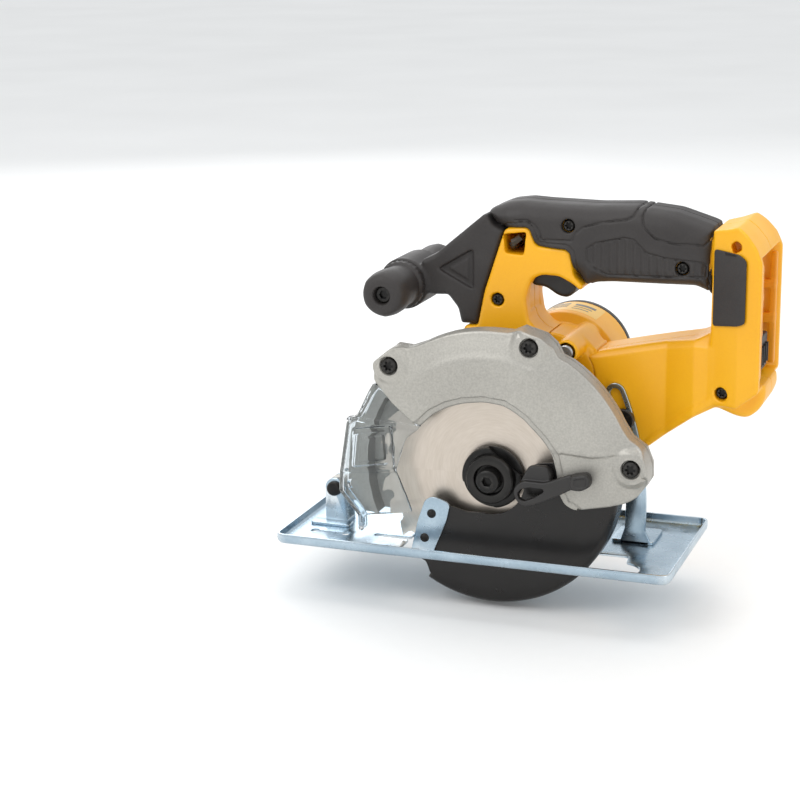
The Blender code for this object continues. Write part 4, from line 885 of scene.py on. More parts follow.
@dataclass
class LowerGuard:
    """Spring-loaded guard under the blade, with its zinc-plated edge strip and retracting lever."""

    radius: float = 74.4
    near: float = -9.5
    rivets: tuple[tuple[float, float], ...] = ((-34.6, -23.2), (-39.0, -38.2))

    def edge_end(self) -> Array:
        """Leading edge of both walls from the rim up towards the hub."""
        return path([(-38.9, -53), (-45.5, -50.5), (-47, -47.5), (-43, -30)])

    def near_wall(self) -> Shape:
        """Near wall as a sheet that stops short of the rounded rim."""
        bottom = path(arc((0, 0), self.radius - 4.0, 10, -121, 80), self.edge_end())
        line = path([(-36.5, -16), (-32, -15), (-24.8, -17.7), (-14, -20.5)], arc((0, 0), 20.6, 258, 360, 24),
                    [(22.4, 8.6), (27.7, 12), (38, 13.6)], bottom)
        line = turn(even(rounded(line, 1.5), 1.6))
        rings = np.concatenate([circle((0, 0), r + 0.3, int(r * 1.4)) for r in np.arange(24.0, 69.0, 5.0)])
        holes = [circle(r, 1.6, 16) for r in self.rivets]
        clear = (signed(rings, line) < -1.5) & np.all([signed(rings, turn(h)) > 1.0 for h in holes], 0)
        return Relief(line, self.near, -8.0, holes=holes, inner=rings[clear], edge=0.35).shape()

    def rim(self) -> Shape:
        """Rim as a bent-over section carried along its arc: a wide near radius, then straight across."""
        bend = np.radians(np.linspace(0, 90, 9))
        r = self.radius
        outer = np.stack([r - 4.5 + 4.5 * np.sin(bend), -5.0 - 4.5 * np.cos(bend)], -1)
        inner = np.stack([r - 4.5 + 3.0 * np.sin(bend[::-1]), -5.0 - 3.0 * np.cos(bend[::-1])], -1)
        section = path([(r - 6, -9.42)], outer, [(r, 7.1), (r - 0.4, 7.5), (r - 1.2, 7.5), (r - 1.5, 7.1)],
                       inner,
                       [(r - 6, -8.05)])
        angle = np.radians(np.linspace(10, -121, 110))[:, None]
        rings = np.stack([section[:, 0] * np.cos(angle), np.broadcast_to(section[:, 1], (110, len(section))),
                          section[:, 0] * np.sin(angle)], -1)
        return stack(rings)

    def far_wall(self) -> Shape:
        """Far wall with the hub that turns on the gear case nose."""
        line = path([(-36.5, -16), (-26, 0), (-20, 17), (0, 26), (24, 14)],
                    arc((0, 0), self.radius - 1.0, 10, -121, 60), self.edge_end())
        hub = lathe([(6.2, 20.1), (6.2, 23.0), (7.4, 23.0), (7.6, 21.6), (11.0, 21.6), (11.2, 21.4),
                     (11.2, 20.1)], sides=72, closed=True)
        return combine(plate(even(rounded(line, 2), 2.0), 6.0, 7.4, 0.35, [circle((0, 0), 20.6, 60)]), hub)

    def lever(self) -> Shape:
        """Lever loop with a thumb tab and a post that reaches the guard's wall."""
        grid = Field((12, -25.5, -17), (67, -8, 18), 0.45)
        line = rounded([(17, -2), (19, 1.8), (23, 4.4), (35, 4.2), (42, 7), (48, 9.6), (54, 11.4), (60, 12.4),
                        (62, 9), (61.6, 5), (57, 2), (50.5, 1.8), (45, -1.6), (36.3, -6.2), (28, -9.6),
                        (23.3, -10.6), (19, -8)], 2.0)
        hole = rounded([(19.6, -3), (21.8, -0.4), (27, 1.0), (34.6, 0.6), (34.9, -1), (29.2, -5.0),
                        (23.5, -7.5), (20.4, -6.2)], 0.8)
        loop = grid.prism(line, -20.0, -16.0, 1.0)
        tab = grid.prism(rounded([(50.5, 2.4), (57, 2.2), (61.6, 5), (62, 9), (60, 12.2), (51, 10.4)], 2),
                         -23.0, -16.2, 1.2)
        pad = grid.prism(rounded([(53, 4.6), (57.4, 4.2), (60, 6), (59.4, 10.2), (53, 8.8)], 1.2), -26, -22.3,
                         0.4)
        body = grid.join(loop, grid.cut(tab, pad, 0.5), 1.2)
        web = grid.prism(rounded([(20.5, 3), (25, 12), (29, 13), (36, 12.8), (38, 5), (35, 3.6), (24, 2)],
                                 1.5), -17.0, -13.0, 0.8)
        body = grid.join(grid.join(body, web, 0.6), grid.rod((33, 7), 5.0, -16, -9.5, 0.6), 0.8)
        return grid.shape(grid.cut(body, grid.prism(hole, -30, 0, 0.3), 0.4))

    def build(self) -> None:
        """Guard shell, strip, rivets, lever, snap ring and return spring."""
        body = "lower_guard_set"
        make("guard_shell", combine(self.near_wall(), self.rim(), self.far_wall()), GUARD_PAINT, body,
             ["lower_guard"], 32)
        line = rounded([(-38.8, -15.7), (-35.5, -13.4), (-32, -13.3), (-25, -15.6), (-23.6, -17.8),
                        (-25.5, -26.5), (-33.2, -45), (-34, -49), (-46, -49), (-47.4, -46.5),
                        (-43.2, -28.3)], 1.8)
        make("strip_plated", plate(even(line, 1.2), -11.0, self.near, 0.4), ZINC_SHEET, body,
             ["guard_edge_strip"], 32)
        for name, spot in zip(("strip_rivet_upper", "strip_rivet_lower"), self.rivets):
            dome = path([(-12.8, 0.0)], np.stack([-11.0 - 1.8 * np.cos(np.radians(np.arange(15, 91, 15))),
                                                  2.7 * np.sin(np.radians(np.arange(15, 91, 15)))], -1),
                        [(-10.9, 1.5), (-7.6, 1.5), (-7.6, 0.0)])
            make(name + "_dome", lathe(dome, spot, 32), OXIDE_STEEL, body, [name], 40)
        make("lever_moulded", self.lever(), BLACK_NYLON, body, ["guard_lever"], 50)
        dress(SPRING_WIRE, "guard_retaining_ring")
        turns = np.linspace(0, 1, 160)
        spiral = polar((0, 0), 23.0, 360 * 1.7 * turns)
        make("spring_coiled", sweep(np.stack([spiral[:, 0], 8.4 + 2.3 * turns, spiral[:, 1]], -1), 0.6, 10),
             SPRING_WIRE, body, ["guard_spring"], 60)


# ---------------------------------------------------------------- motor and gears

@dataclass
class MotorUnit:
    """Motor barrel behind the handle leg, with the spindle lock, end cap and everything inside."""

    axis: tuple[float, float] = (22.28, 50.29)
    slim: float = 27.5
    wide: float = 33.0
    end: float = 96.0
    pin: tuple[float, float] = (37.2, 71.1)

    def housing(self) -> Shape:
        """Two cylinders joined by a cone, with a ridge over the lock pin and a low saddle, hollow inside."""
        grid = Field((-14, 13, 14), (60, 98, 87), 0.8)
        radius = self.slim + (self.wide - self.slim) * np.clip((grid.y - 60.5) / 5, 0, 1)
        body = grid.rod(self.axis, radius, 33, self.end, 0.8)
        ridge = grid.rod(self.pin, 7.0, 15, 64, 1.4)
        saddle = grid.prism(rounded([(38, 60), (36, 76), (45, 74), (53, 64), (54, 56)], 5), 34, 60, 3.0)
        body = grid.join(grid.join(body, ridge, 1.2), saddle, 3.0)
        ribs = [grid.prism(rounded([(50 + 2.6 * i, 52), (46 + 2.6 * i, 70), (47.2 + 2.6 * i, 70),
                                    (51.2 + 2.6 * i, 52)], 0.3),
                           34, 59 - i, 0.3) for i in range(2)]
        body = grid.join(grid.join(body, ribs[0], 0.6), ribs[1], 0.6)
        body = grid.cut(body, grid.rod(self.pin, 5.4, 0, 17.5, 0.3), 0.8)
        body = grid.cut(body, grid.rod(self.pin, 5.0, 10, 37.6, 0.0))
        seat = circle_hull(((0, 0), 24.2), ((11.34, 25.6), 23.2), ((22.28, 50.29), 13.4))
        body = grid.cut(body, grid.prism(seat, 30, 36.2))
        body = grid.cut(body, grid.prism(circle_hull(((0, 0), 24.2), ((22.28, 50.29), 24.4)), 36, 41.5))
        inner = 24.9 + 5.1 * np.clip((grid.y - 62) / 5, 0, 1)
        body = grid.cut(body, grid.rod(self.axis, inner, 41, 110, 0.0))
        return grid.shape(body)

    def label(self) -> Shape:
        """Thin film wrapped on the barrel: a patch of angle and depth, one tenth of a millimetre proud."""
        return self.patch(58, 126, 70.5, 93.5, 0.10)

    def patch(self, a0: float, a1: float, y0: float, y1: float, proud: float) -> Shape:
        """Curved patch of the wide barrel between two angles and depths, as a closed thin sheet."""
        angle = np.linspace(a0, a1, 24)
        outer = polar(self.axis, self.wide + proud, angle)
        inner = polar(self.axis, self.wide - 0.2, angle[::-1])
        line = path(outer, inner)
        rings = np.stack([np.column_stack([line[:, 0], np.full(len(line), y), line[:, 1]]) for y in (y0, y1)])
        return stack(rings)

    def build(self) -> None:
        """Housing, label, end cap, lock pin, and the working parts that stay as they are."""
        make("motor_barrel", self.housing(), YELLOW_NYLON, "saw_body", ["motor_housing"], 50)
        make("motor_label", self.label(), PALE_FILM, "saw_body")
        bars = [self.patch(a, b, y0, y1, 0.16) for a, b, y0, y1 in
                ((104, 122, 90.6, 92.0), (104, 122, 74.0, 75.0), (94, 122, 86.5, 89.3), (94, 112, 83.6, 84.6),
                 (94, 116, 81.2, 82.2), (94, 108, 78.8, 79.8), (66, 88, 84.2, 88.0), (68, 88, 80.4, 81.6),
                 (70, 88, 76.0, 77.2))]
        make("motor_label_ink", combine(*bars), INK_FILM, "saw_body")
        cap = [(90.6, 0.0), (90.6, 13.0), (96.2, 13.0), (96.2, 32.6), (96.6, 33.0), (100.2, 33.0),
               (101.4, 32.5), (103.6, 29.0), (104.3, 27.4), (104.5, 26.0), (104.5, 22.0), (103.6, 21.0),
               (103.6, 8.0), (104.1, 7.0), (104.1, 0.0)]
        make("end_cap_moulded", lathe(cap, self.axis, 96), BLACK_NYLON, "saw_body", ["motor_end_cap"], 30)
        pin = [(14.4, 0.0), (14.4, 3.0), (14.55, 3.6), (15.0, 4.2), (15.7, 4.4), (31.4, 4.4), (31.4, 0.0)]
        make("lock_pin_turned", lathe(pin, self.pin, 40), BRIGHT_STEEL, "spindle_lock",
             ["spindle_lock_button"], 30)
        dress(CAST_PAINT, "gear_case", "bearing_plate")
        dress(BRIGHT_STEEL, "spindle_bearing", "motor_bearing_front")
        dress(GEAR_STEEL, "motor_shaft", "armature_core", "field_can")
        dress(TURNED_COPPER, "commutator")
        dress(BLACK_NYLON, "motor_fan", "switch_module")
        dress(BRUSH_CARBON, "brush_upper", "brush_lower")


def circle_hull(*circles: tuple[Sequence[float], float]) -> Array:
    """Outline round a few circles: in each direction, the furthest any circle reaches, cut to that edge."""
    angle = np.linspace(0, 360, 120, endpoint=False)
    points = np.concatenate([polar(c, r, angle) for c, r in circles])
    way = np.radians(np.linspace(0, 360, 90, endpoint=False))
    normal = np.stack([np.cos(way), np.sin(way)], -1)
    reach = (points @ normal.T).max(0)
    following = np.roll(reach, -1)
    step = way[1] - way[0]
    slide = (following - reach * np.cos(step)) / np.sin(step)
    tangent = np.stack([-np.sin(way), np.cos(way)], -1)
    return normal * reach[:, None] + tangent * slide[:, None]


# ---------------------------------------------------------------- handle

@dataclass
class Handle:
    """Closed handle: two nylon shells, the elastomer grip over them, and everything worked by the hand."""

    middle: float = 42.0
    barrel: tuple[float, float] = (22.28, 50.29)
    low: tuple[float, float, float] = (-31.0, 4.0, 4.0)
    high: tuple[float, float, float] = (155.0, 80.0, 152.0)
    pitch: float = 0.8
    head_bore: float = 3.9
    screw_bore: float = 1.9
    lock_off: tuple[float, float] = (30.0, 131.0)
    screws: tuple[tuple[str, float, float, float, float], ...] = (
        ("handle_screw_leg", -6.0, 97.0, 28.0, 20.0), ("handle_screw_grip", 35.6, 141.5, 28.0, 18.0),
        ("handle_screw_rear", 100.5, 120.7, 28.0, 18.0), ("handle_screw_foot", 124.7, 52.4, 26.0, 18.0))

    def panel(self) -> list[tuple[float, float]]:
        """Edge of the yellow panel, from the front leg round the key window to the trigger."""
        return [(-14.1, 101.3), (-6.7, 123.5), (-2.2, 136.8), (-0.6, 138.4), (11, 139.8), (13.4, 138.4),
                (15.7, 130.6), (18, 129), (34.5, 128.2), (37, 125.8), (38.4, 113.5), (44.5, 107.2),
                (42.5, 104.8)]

    def core(self) -> Array:
        """Inner core that the grip wraps."""
        return rounded([(6, 136), (13, 147), (50, 147), (95, 145.5), (121, 138), (121, 115), (108, 115.5),
                        (60, 115), (40, 115), (30, 118)], 2)

    def pocket(self, grow: float = 0.0) -> list[tuple[float, float]]:
        """Pocket that the trigger swings in."""
        g = grow
        return [(10.9 - g, 90), (10.9 - g, 112.5 + g), (16, 117 + g), (33, 117 + g), (40, 111 + g),
                (42.8, 106.5), (43.2, 90)]

    def body(self, grid: Field) -> Array:
        """Both shells as one distance: leg and panel, slanted beam, battery foot and its bulb, blended
        together and hollowed where something works inside."""
        mid = self.middle
        hand_side = [(38, 108.5), (30, 112.5), (20, 112.8), (14.5, 110), (12.4, 105), (10.7, 98), (12.5, 86),
                     (18, 80), (27, 77), (30, 60)]
        leg = rounded([(-27, 60), (-26.5, 80.7), (-18.2, 80.9)] + self.panel() + hand_side, 2.5)
        front = grid.prism(leg, mid - 18, mid + 18, 2.2)
        near = np.interp(grid.x, [91, 108, 125], [32.4, 25, 22]).astype(np.float32)
        far = 2 * mid - np.interp(grid.x, [91, 108, 125], [23.0, 24.0, 22.0]).astype(np.float32)
        beam = rounded([(38, 44), (44, 66), (52, 69), (75, 74), (91, 77.3), (108, 80.6), (124, 89),
                        (124, 45.5), (108, 36.2), (91, 23), (80, 14), (68, 8), (56, 20)], 3.0)
        shoulder = np.interp(grid.x, [50, 91, 108], [65, 73.5, 77]).astype(np.float32)
        top_slope = np.clip((grid.z - shoulder) * 0.75, 0, 5)
        middle = grid.prism(beam, near + top_slope, far, 1.6)
        wide = np.interp(grid.x, [108, 118, 134, 146.5], [17.5, 19, 28, 33]).astype(np.float32)
        foot_line = rounded([(117, 45), (117.5, 143), (126, 144.6), (133, 146.8), (138.4, 142.6),
                             (143.6, 136.4), (147, 128.4), (147, 57), (134, 46)], 1.6)
        foot = grid.prism(foot_line, mid - wide, mid + wide, 1.4)
        bulb = grid.prism(rounded([(120, 44.4), (132.6, 39.6), (139, 38.9), (145.8, 44.4), (149.2, 53.2),
                                   (147.4, 61), (140, 64), (120, 63)], 4), mid - 20.5, mid + 20.5, 4.0)
        core = grid.prism(self.core(), mid - 14, mid + 14, 4.0)
        whole = grid.join(grid.join(front, middle, 5.0), core, 1.0)
        whole = grid.join(grid.join(whole, foot, 2.0), bulb, 2.0)
        ledge = grid.prism(rounded([(81, 15.5), (92, 24.5), (109, 37.8), (122, 47.5), (121, 51), (107, 42),
                                    (91, 28.5), (79, 18)], 0.8), near - 1.1, mid, 0.5)
        whole = grid.join(whole, grid.both(ledge, 78.0 - grid.x, 1.0), 1.2)
        whole = grid.cut(whole, grid.rod(self.barrel, 27.75, 10, 80))
        room = grid.both(grid.prism(rounded([(131, 61), (131, 128), (150, 131), (165, 131), (165, 58),
                                             (150, 58)], 2),
                                    mid - (wide - 5.0), mid + (wide - 5.0), 1.0), 131.0 - grid.x, 0.5)
        whole = grid.cut(whole, room, 0.8)
        inside = [(20, 119.5), (20, 137.5), (60, 137.5), (90, 139), (110, 135), (110, 127), (90, 126),
                  (84, 119.5)]
        whole = grid.cut(whole, grid.prism(inside, 31, 53))
        whole = grid.cut(whole, grid.prism(self.pocket(), 32, 52, 0.3), 0.5)
        window = rounded([(-2.6, 135), (11, 136.8), (9.5, 123.5), (-1.4, 124.2)], 1.6)
        whole = grid.cut(whole, grid.prism(window, 10, 58.4), 0.8)
        hole = grid.prism(rounded([(128.4, 136.4), (131.6, 139.2), (134.6, 137.6), (134.8, 134.2),
                                   (130, 131.4)], 1.2), 0, 26, 0.5)
        whole = grid.cut(whole, hole, 1.0)
        whole = grid.cut(whole, grid.rod((67.6, 30.8), 3.3, 25, 66))
        whole = grid.cut(whole, grid.rod(self.lock_off, 4.7, 50, 70))
        for name, x, z, seat, _ in self.screws:
            eased = 0.8 if name.endswith(("leg", "foot")) else 0.0
            whole = grid.cut(whole, grid.rod((x, z), self.head_bore, 0, seat), eased)
            whole = grid.cut(whole, grid.rod((x, z), self.screw_bore, 10, 53))
        return whole

    def shells(self) -> None:
        """Near and far shells, parted on the handle's middle plane with a hairline between them."""
        grid = Field(self.low, self.high, self.pitch)
        whole = self.body(grid)
        near = grid.both(whole, grid.y - (self.middle - 0.06), 0.35)
        make("shell_near", grid.shape(near), YELLOW_NYLON, "saw_body", ["handle_shell_near"], 50)
        far = grid.both(whole, (self.middle + 0.06) - grid.y, 0.35)
        make("shell_far", grid.shape(far), YELLOW_NYLON, "saw_body", ["handle_shell_far"], 50)

    def grooves(self) -> list[Array]:
        """Lines moulded into each side of the grip, as runs of points in X-Z; the ribbed patch's comes back
        to its first point."""
        front_pad = [(4.5, 143.4), (12.4, 143.7), (16.9, 140.8), (19.6, 136.5), (20.2, 133.0), (37.8, 133.2),
                     (39.6, 137.4), (44.7, 141.4), (54.9, 144.4), (68.8, 146.3), (72.5, 148.4), (76.2, 156)]
        rear_pad = [(79.9, 156), (77.6, 148.6), (78.9, 143.0), (85.3, 136.9), (95.3, 134.6), (112.6, 134.2),
                    (115.0, 136.7), (118.3, 148)]
        ribbed = [(46.7, 129.3), (51.8, 132.7), (68.2, 136.4), (73.2, 135.6), (80.9, 128.6), (91.0, 126.3),
                  (112.0, 124.6), (113.9, 122.9), (113.5, 116.5), (58.3, 114.8), (49.4, 119.4),
                  (46.8, 123.0), (46.7, 129.3)]
        neck = [(118.3, 147.3), (115.8, 128.8), (114.2, 106)]
        return [np.array(run) for run in (front_pad, rear_pad, ribbed, neck)]

    def chain(self, grid: Field, line: Array) -> Array:
        """Distance in X-Z to an open run of points."""
        x, z = np.broadcast_arrays(grid.x[:, 0], grid.z[0])
        spots = np.stack([x, z], -1).reshape(-1, 1, 2)
        a, b = line[:-1][None], line[1:][None]
        ap, ab = spots - a, b - a
        t = np.clip(np.sum(ap * ab, -1) / np.sum(ab * ab, -1), 0, 1)
        near = np.sqrt(np.min(np.sum((ap - ab * t[..., None]) ** 2, -1), 1))
        return near.reshape(x.shape).astype(np.float32)[:, None, :]

    def sleeves(self) -> None:
        """Elastomer grip: an oval section with moulded lines, a ribbed patch and cut-outs."""
        grid = Field((-17, 19, 100), (121, 65, 157), 0.62)
        mid = self.middle
        line = rounded([(-8.4, 139.8), (-14.1, 146.3), (-11, 148.8), (-2.4, 152.4), (8.2, 153.8), (19, 153.1),
                        (49, 152.5), (72, 153.5), (95, 151), (114.4, 145), (118.2, 143), (118.2, 104),
                        (114, 107.5), (107, 110.3), (78.5, 110), (60, 109.8), (50, 109), (44.9, 106.8),
                        (39.8, 114.2), (30, 118), (10, 130), (-1.8, 137.5)], 2.4)
        waist = np.interp(grid.x, [-14, 0, 30, 60, 90, 118],
                          [16.5, 19.0, 19.6, 19.0, 20.0, 19.0]).astype(np.float32)
        body = grid.prism(line, mid - waist, mid + waist, 10.5)
        ribbed = rounded(self.grooves()[2][:-1], 3.0)
        within = grid.flat(ribbed)
        ribs = 0.42 * (1 - np.cos(2 * np.pi * (grid.x - 47) / 4.55)) * np.clip(-within / 1.5, 0, 1)
        bulge = 0.7 * np.clip((within + 1.0) / 2.0, 0, 1) * np.clip((4.5 - within) / 3.0, 0, 1)
        side = np.clip((np.abs(grid.y - mid) - 9) / 4, 0, 1)
        body = body + (ribs - 0.5 * bulge + 0.35) * side
        for run in self.grooves():
            body = grid.groove(body, self.chain(grid, run), 0.9, 0.9)
        panel = rounded(self.panel() + [(30, 96), (-30, 96)], 1.0)
        lip = grid.flat(panel)
        body = grid.groove(body, lip - 2.6, 0.8, 0.7)
        body = grid.cut(body, lip + 0 * grid.y, 0.7)
        body = grid.cut(body, grid.prism(self.core(), mid - 14.1, mid + 14.1, 4.0))
        body = grid.cut(body, grid.prism(self.pocket(0.3), 32, 52), 0.3)
        for _, x, z, _, _ in self.screws[1:3]:
            body = grid.cut(body, grid.rod((x, z), self.head_bore, 0, 30), 1.2)
        near = grid.both(body, grid.y - (mid - 0.05), 0.3)
        far = grid.cut(grid.both(body, (mid + 0.05) - grid.y, 0.3), grid.rod(self.lock_off, 4.8, 50, 70), 0.8)
        make("grip_near", grid.shape(near), GRIP_RUBBER, "saw_body", ["grip_sleeve_near"], 50)
        make("grip_far", grid.shape(far), GRIP_RUBBER, "saw_body", ["grip_sleeve_far"], 50)

    def pads(self) -> None:
        """Elastomer pads on the slanted faces of the foot: thin rounded slabs that follow the slope."""
        for name, way in (("rear_pad_near", 1.0), ("rear_pad_far", -1.0)):
            line = turn(even(rounded([(118.6, 90.4), (134, 92.8), (138.2, 94.8), (138.2, 129.4), (134, 132.2),
                                      (118.6, 133.2)], 1.6), 1.6))
            spots = np.stack(np.meshgrid(np.arange(121.0, 137.0, 2.2), np.arange(94.0, 131.0, 2.6)),
                             -1).reshape(-1, 2)
            pad = Relief(line, 0.0, 1.5, inner=spots[signed(spots, line) < -1.4], edge=0.6)
            verts, faces = pad.shape()
            face = np.interp(verts[:, 0], [108, 118, 134, 146.5], [24.5, 23, 14, 9]) - 0.1
            depth = face - (1.5 - verts[:, 1])
            depth = depth if way > 0 else 2 * self.middle - depth
            make(name + "_moulded", (np.stack([verts[:, 0], depth, verts[:, 2]], -1), faces), GRIP_RUBBER,
                 "saw_body",
                 [name], 40)

    def controls(self) -> None:
        """Trigger, lock-off button, hex key, terminal block and the screws."""
        mid = self.middle
        grid = Field((9, 31, 95), (41, 53, 117), 0.5)
        line = rounded([(11.6, 104.8), (11.4, 110.5), (15.5, 114), (29, 114.3), (36, 109.5), (38.3, 105),
                        (36.4, 101), (32.5, 98.4), (27, 99.4), (20, 104.0)], 2.6)
        blade = grid.prism(line, mid - 9, mid + 9, 2.4)
        make("trigger_moulded", grid.shape(blade), BLACK_NYLON, "trigger_arm", ["trigger"], 50)
        button = [(53.4, 0.0), (53.4, 4.4), (64.4, 4.4), (65.1, 4.1), (65.5, 3.4), (65.3, 2.0), (65.1, 0.0)]
        make("lock_off_moulded", lathe(button, self.lock_off, 40), BLACK_NYLON, "lock_off",
             ["lock_off_button"], 40)
        turns = np.linspace(0, np.pi / 2, 14)
        bend = np.stack([1.8 + 0 * turns, 31.6 - 2.4 * np.sin(turns), 127.4 + 2.4 * (1 - np.cos(turns))], -1)
        line = np.vstack([[(1.8, 58.0, 127.4)], [(1.8, 44.0, 127.4)], bend, [(4.0, 29.1, 131.0)],
                          [(6.8, 29.0, 133.4)]])
        make("key_bent", sweep(line, 2.1, 6), OXIDE_STEEL, "key", ["hex_key"], 40)
        for name, x, z, seat, length in self.screws:
            screw(name, (x, z), seat - 3.05, 3.5, 3.0, 1.8, seat - 0.05 + length)
        block = rounded([(131.6, 62.4), (143.0, 62.4), (143.0, 82.0), (131.6, 82.0)], 1.2)
        contact = rounded([(142.6, 66.0), (144.6, 66.0), (144.6, 77.0), (142.6, 77.0)], 0.3)
        slots = [plate(contact, y, y + 1.0, 0.2) for y in (33.0, 38.0, 44.5, 50.0)]
        make("terminal_block_moulded", combine(plate(block, 28, 56, 0.8), *slots), BLACK_NYLON, "saw_body",
             ["terminal_block"], 35)

    def receiver(self) -> None:
        """Rails and stiffening ribs that show inside the battery cavity."""
        grid = Field((128, 12, 56), (148, 73, 134), 0.7)
        mid = self.middle
        parts = []
        for way in (-1, 1):
            wall = mid + way * 21.5
            parts += [grid.prism(rounded(line, 1), wall - half, wall + half, 0.5) for line, half in (
                ([(132, 84), (146, 86), (146, 91), (132, 91)], 3),
                ([(132, 104), (146, 106), (146, 110), (132, 110)], 3),
                ([(142.4, 62), (146, 62), (146, 126), (142.4, 126)], 2.0))]
        body = parts[0]
        for part in parts[1:]:
            body = grid.join(body, part, 0.6)
        for z in (96.0, 117.0):
            rib = [(131, z), (136, z), (136, z + 1.6), (131, z + 1.6)]
            body = grid.join(body, grid.prism(rib, mid - 20, mid + 20, 0.3), 0.4)
        for y in (30.0, 42.0, 54.0):
            rib = [(131, 84), (135, 84), (135, 127), (131, 127)]
            body = grid.join(body, grid.prism(rib, y - 0.8, y + 0.8, 0.3), 0.4)
        # Painted shade: the rails and ribs inside the battery cavity take the deeper orange copy of the
        # yellow nylon.
        make("battery_rails", grid.shape(body), SHADED_YELLOW_NYLON, "saw_body", (), 50)

    def build(self) -> None:
        """Every piece of the handle."""
        self.shells()
        self.sleeves()
        self.pads()
        self.controls()
        self.receiver()


# ---------------------------------------------------------------- front handle

@dataclass
class FrontHandle:
    """Arm that reaches forward from the handle, with a cross bar made of two grips and a bolt."""

    centre: tuple[float, float] = (-64.0, 102.5)

    def arm(self) -> Shape:
        """Arm as a slab with full-round edges, a triangular pocket with its own raised floor, and a lug."""
        grid = Field((-82, 23, 76), (8, 61, 156), 0.7)
        line = rounded([(-29, 81.2), (-18.5, 81.4), (-14.5, 101.4), (-7.1, 123.6), (-2.7, 136.9), (-9, 139.2),
                        (-14.6, 145.8), (-44.5, 121), (-53, 117), (-53, 99), (-47, 97), (-37, 97.5),
                        (-31, 90)], 1.6)
        body = grid.join(grid.prism(line, 26, 58, 3.4), grid.rod(self.centre, 15, 26, 58, 1.6), 3.0)
        pocket = grid.flat(rounded([(-44.0, 112.6), (-20.5, 126.6), (-20.5, 100.4)], 4.0))
        body = grid.cut(body, grid.both(pocket + 0.8, grid.y - 28.4, 0.8), 1.6)
        body = grid.join(body, grid.both(pocket + 4.0, np.abs(grid.y - 29.0) - 1.4, 0.8), 1.0)
        body = grid.groove(body, grid.flat(line) + 3.4, 0.7, 0.0)
        return grid.shape(grid.cut(body, grid.rod(self.centre, 3.3, 20, 70)))

    def grip(self, near: bool) -> Shape:
        """Tapered grip: a faceted nose cone, a long soft waist and a ribbed collar against the arm."""
        rows = [(-2.2, 3.3), (-2.2, 5.0), (-8.9, 5.1), (-9.6, 5.6), (-10.0, 7.0), (-9.6, 9.2), (-8.6, 10.9),
                (-7.0, 12.1), (-4.0, 13.1), (0.0, 13.5), (6.0, 13.1), (12.0, 12.4), (18.0, 12.0),
                (20.0, 12.2), (21.0, 13.0), (21.6, 13.6),
                (22.2, 13.8, Drive.RIBBED), (25.0, 13.8, Drive.RIBBED), (25.6, 13.6), (25.8, 13.2),
                (25.8, 3.3)]
        verts, faces = lathe(rows, self.centre, 112, closed=True)
        around = np.arctan2(verts[:, 2] - self.centre[1], verts[:, 0] - self.centre[0])
        soft = np.clip(1 - np.abs(verts[:, 1] + 3.0) / 8.0, 0, 1)
        flats = 1 - 0.035 * soft * np.abs(np.cos(3 * around)) * (verts[:, 1] < 6)
        flats = np.where(np.hypot(verts[:, 0] - self.centre[0], verts[:, 2] - self.centre[1]) > 6, flats, 1)
        verts = np.stack([self.centre[0] + (verts[:, 0] - self.centre[0]) * flats,
                          verts[:, 1] if near else 84 - verts[:, 1],
                          self.centre[1] + (verts[:, 2] - self.centre[1]) * flats], -1)
        return verts, faces

    def build(self) -> None:
        """Arm, both grips and the bolt through them."""
        make("arm_moulded", self.arm(), GRIP_RUBBER, "saw_body", ["front_arm"], 50)
        make("grip_end_near", self.grip(True), GRIP_RUBBER, "saw_body", ["front_grip_near"], 30)
        make("grip_end_far", self.grip(False), GRIP_RUBBER, "saw_body", ["front_grip_far"], 30)
        rows = [(-4.2, 0.0), (-4.2, 2.3, Drive.HEX), (-5.9, 2.4, Drive.HEX), (-6.0, 2.8, Drive.HEX),
                (-6.0, 4.0), (-5.6, 4.6), (-5.0, 4.7), (-2.05, 4.7), (-2.05, 3.0), (84.5, 3.0), (84.5, 0.0)]
        make("bolt_long", lathe(rows, self.centre, 48), OXIDE_STEEL, "saw_body", ["front_grip_bolt"], 30)


# ---------------------------------------------------------------- shoe

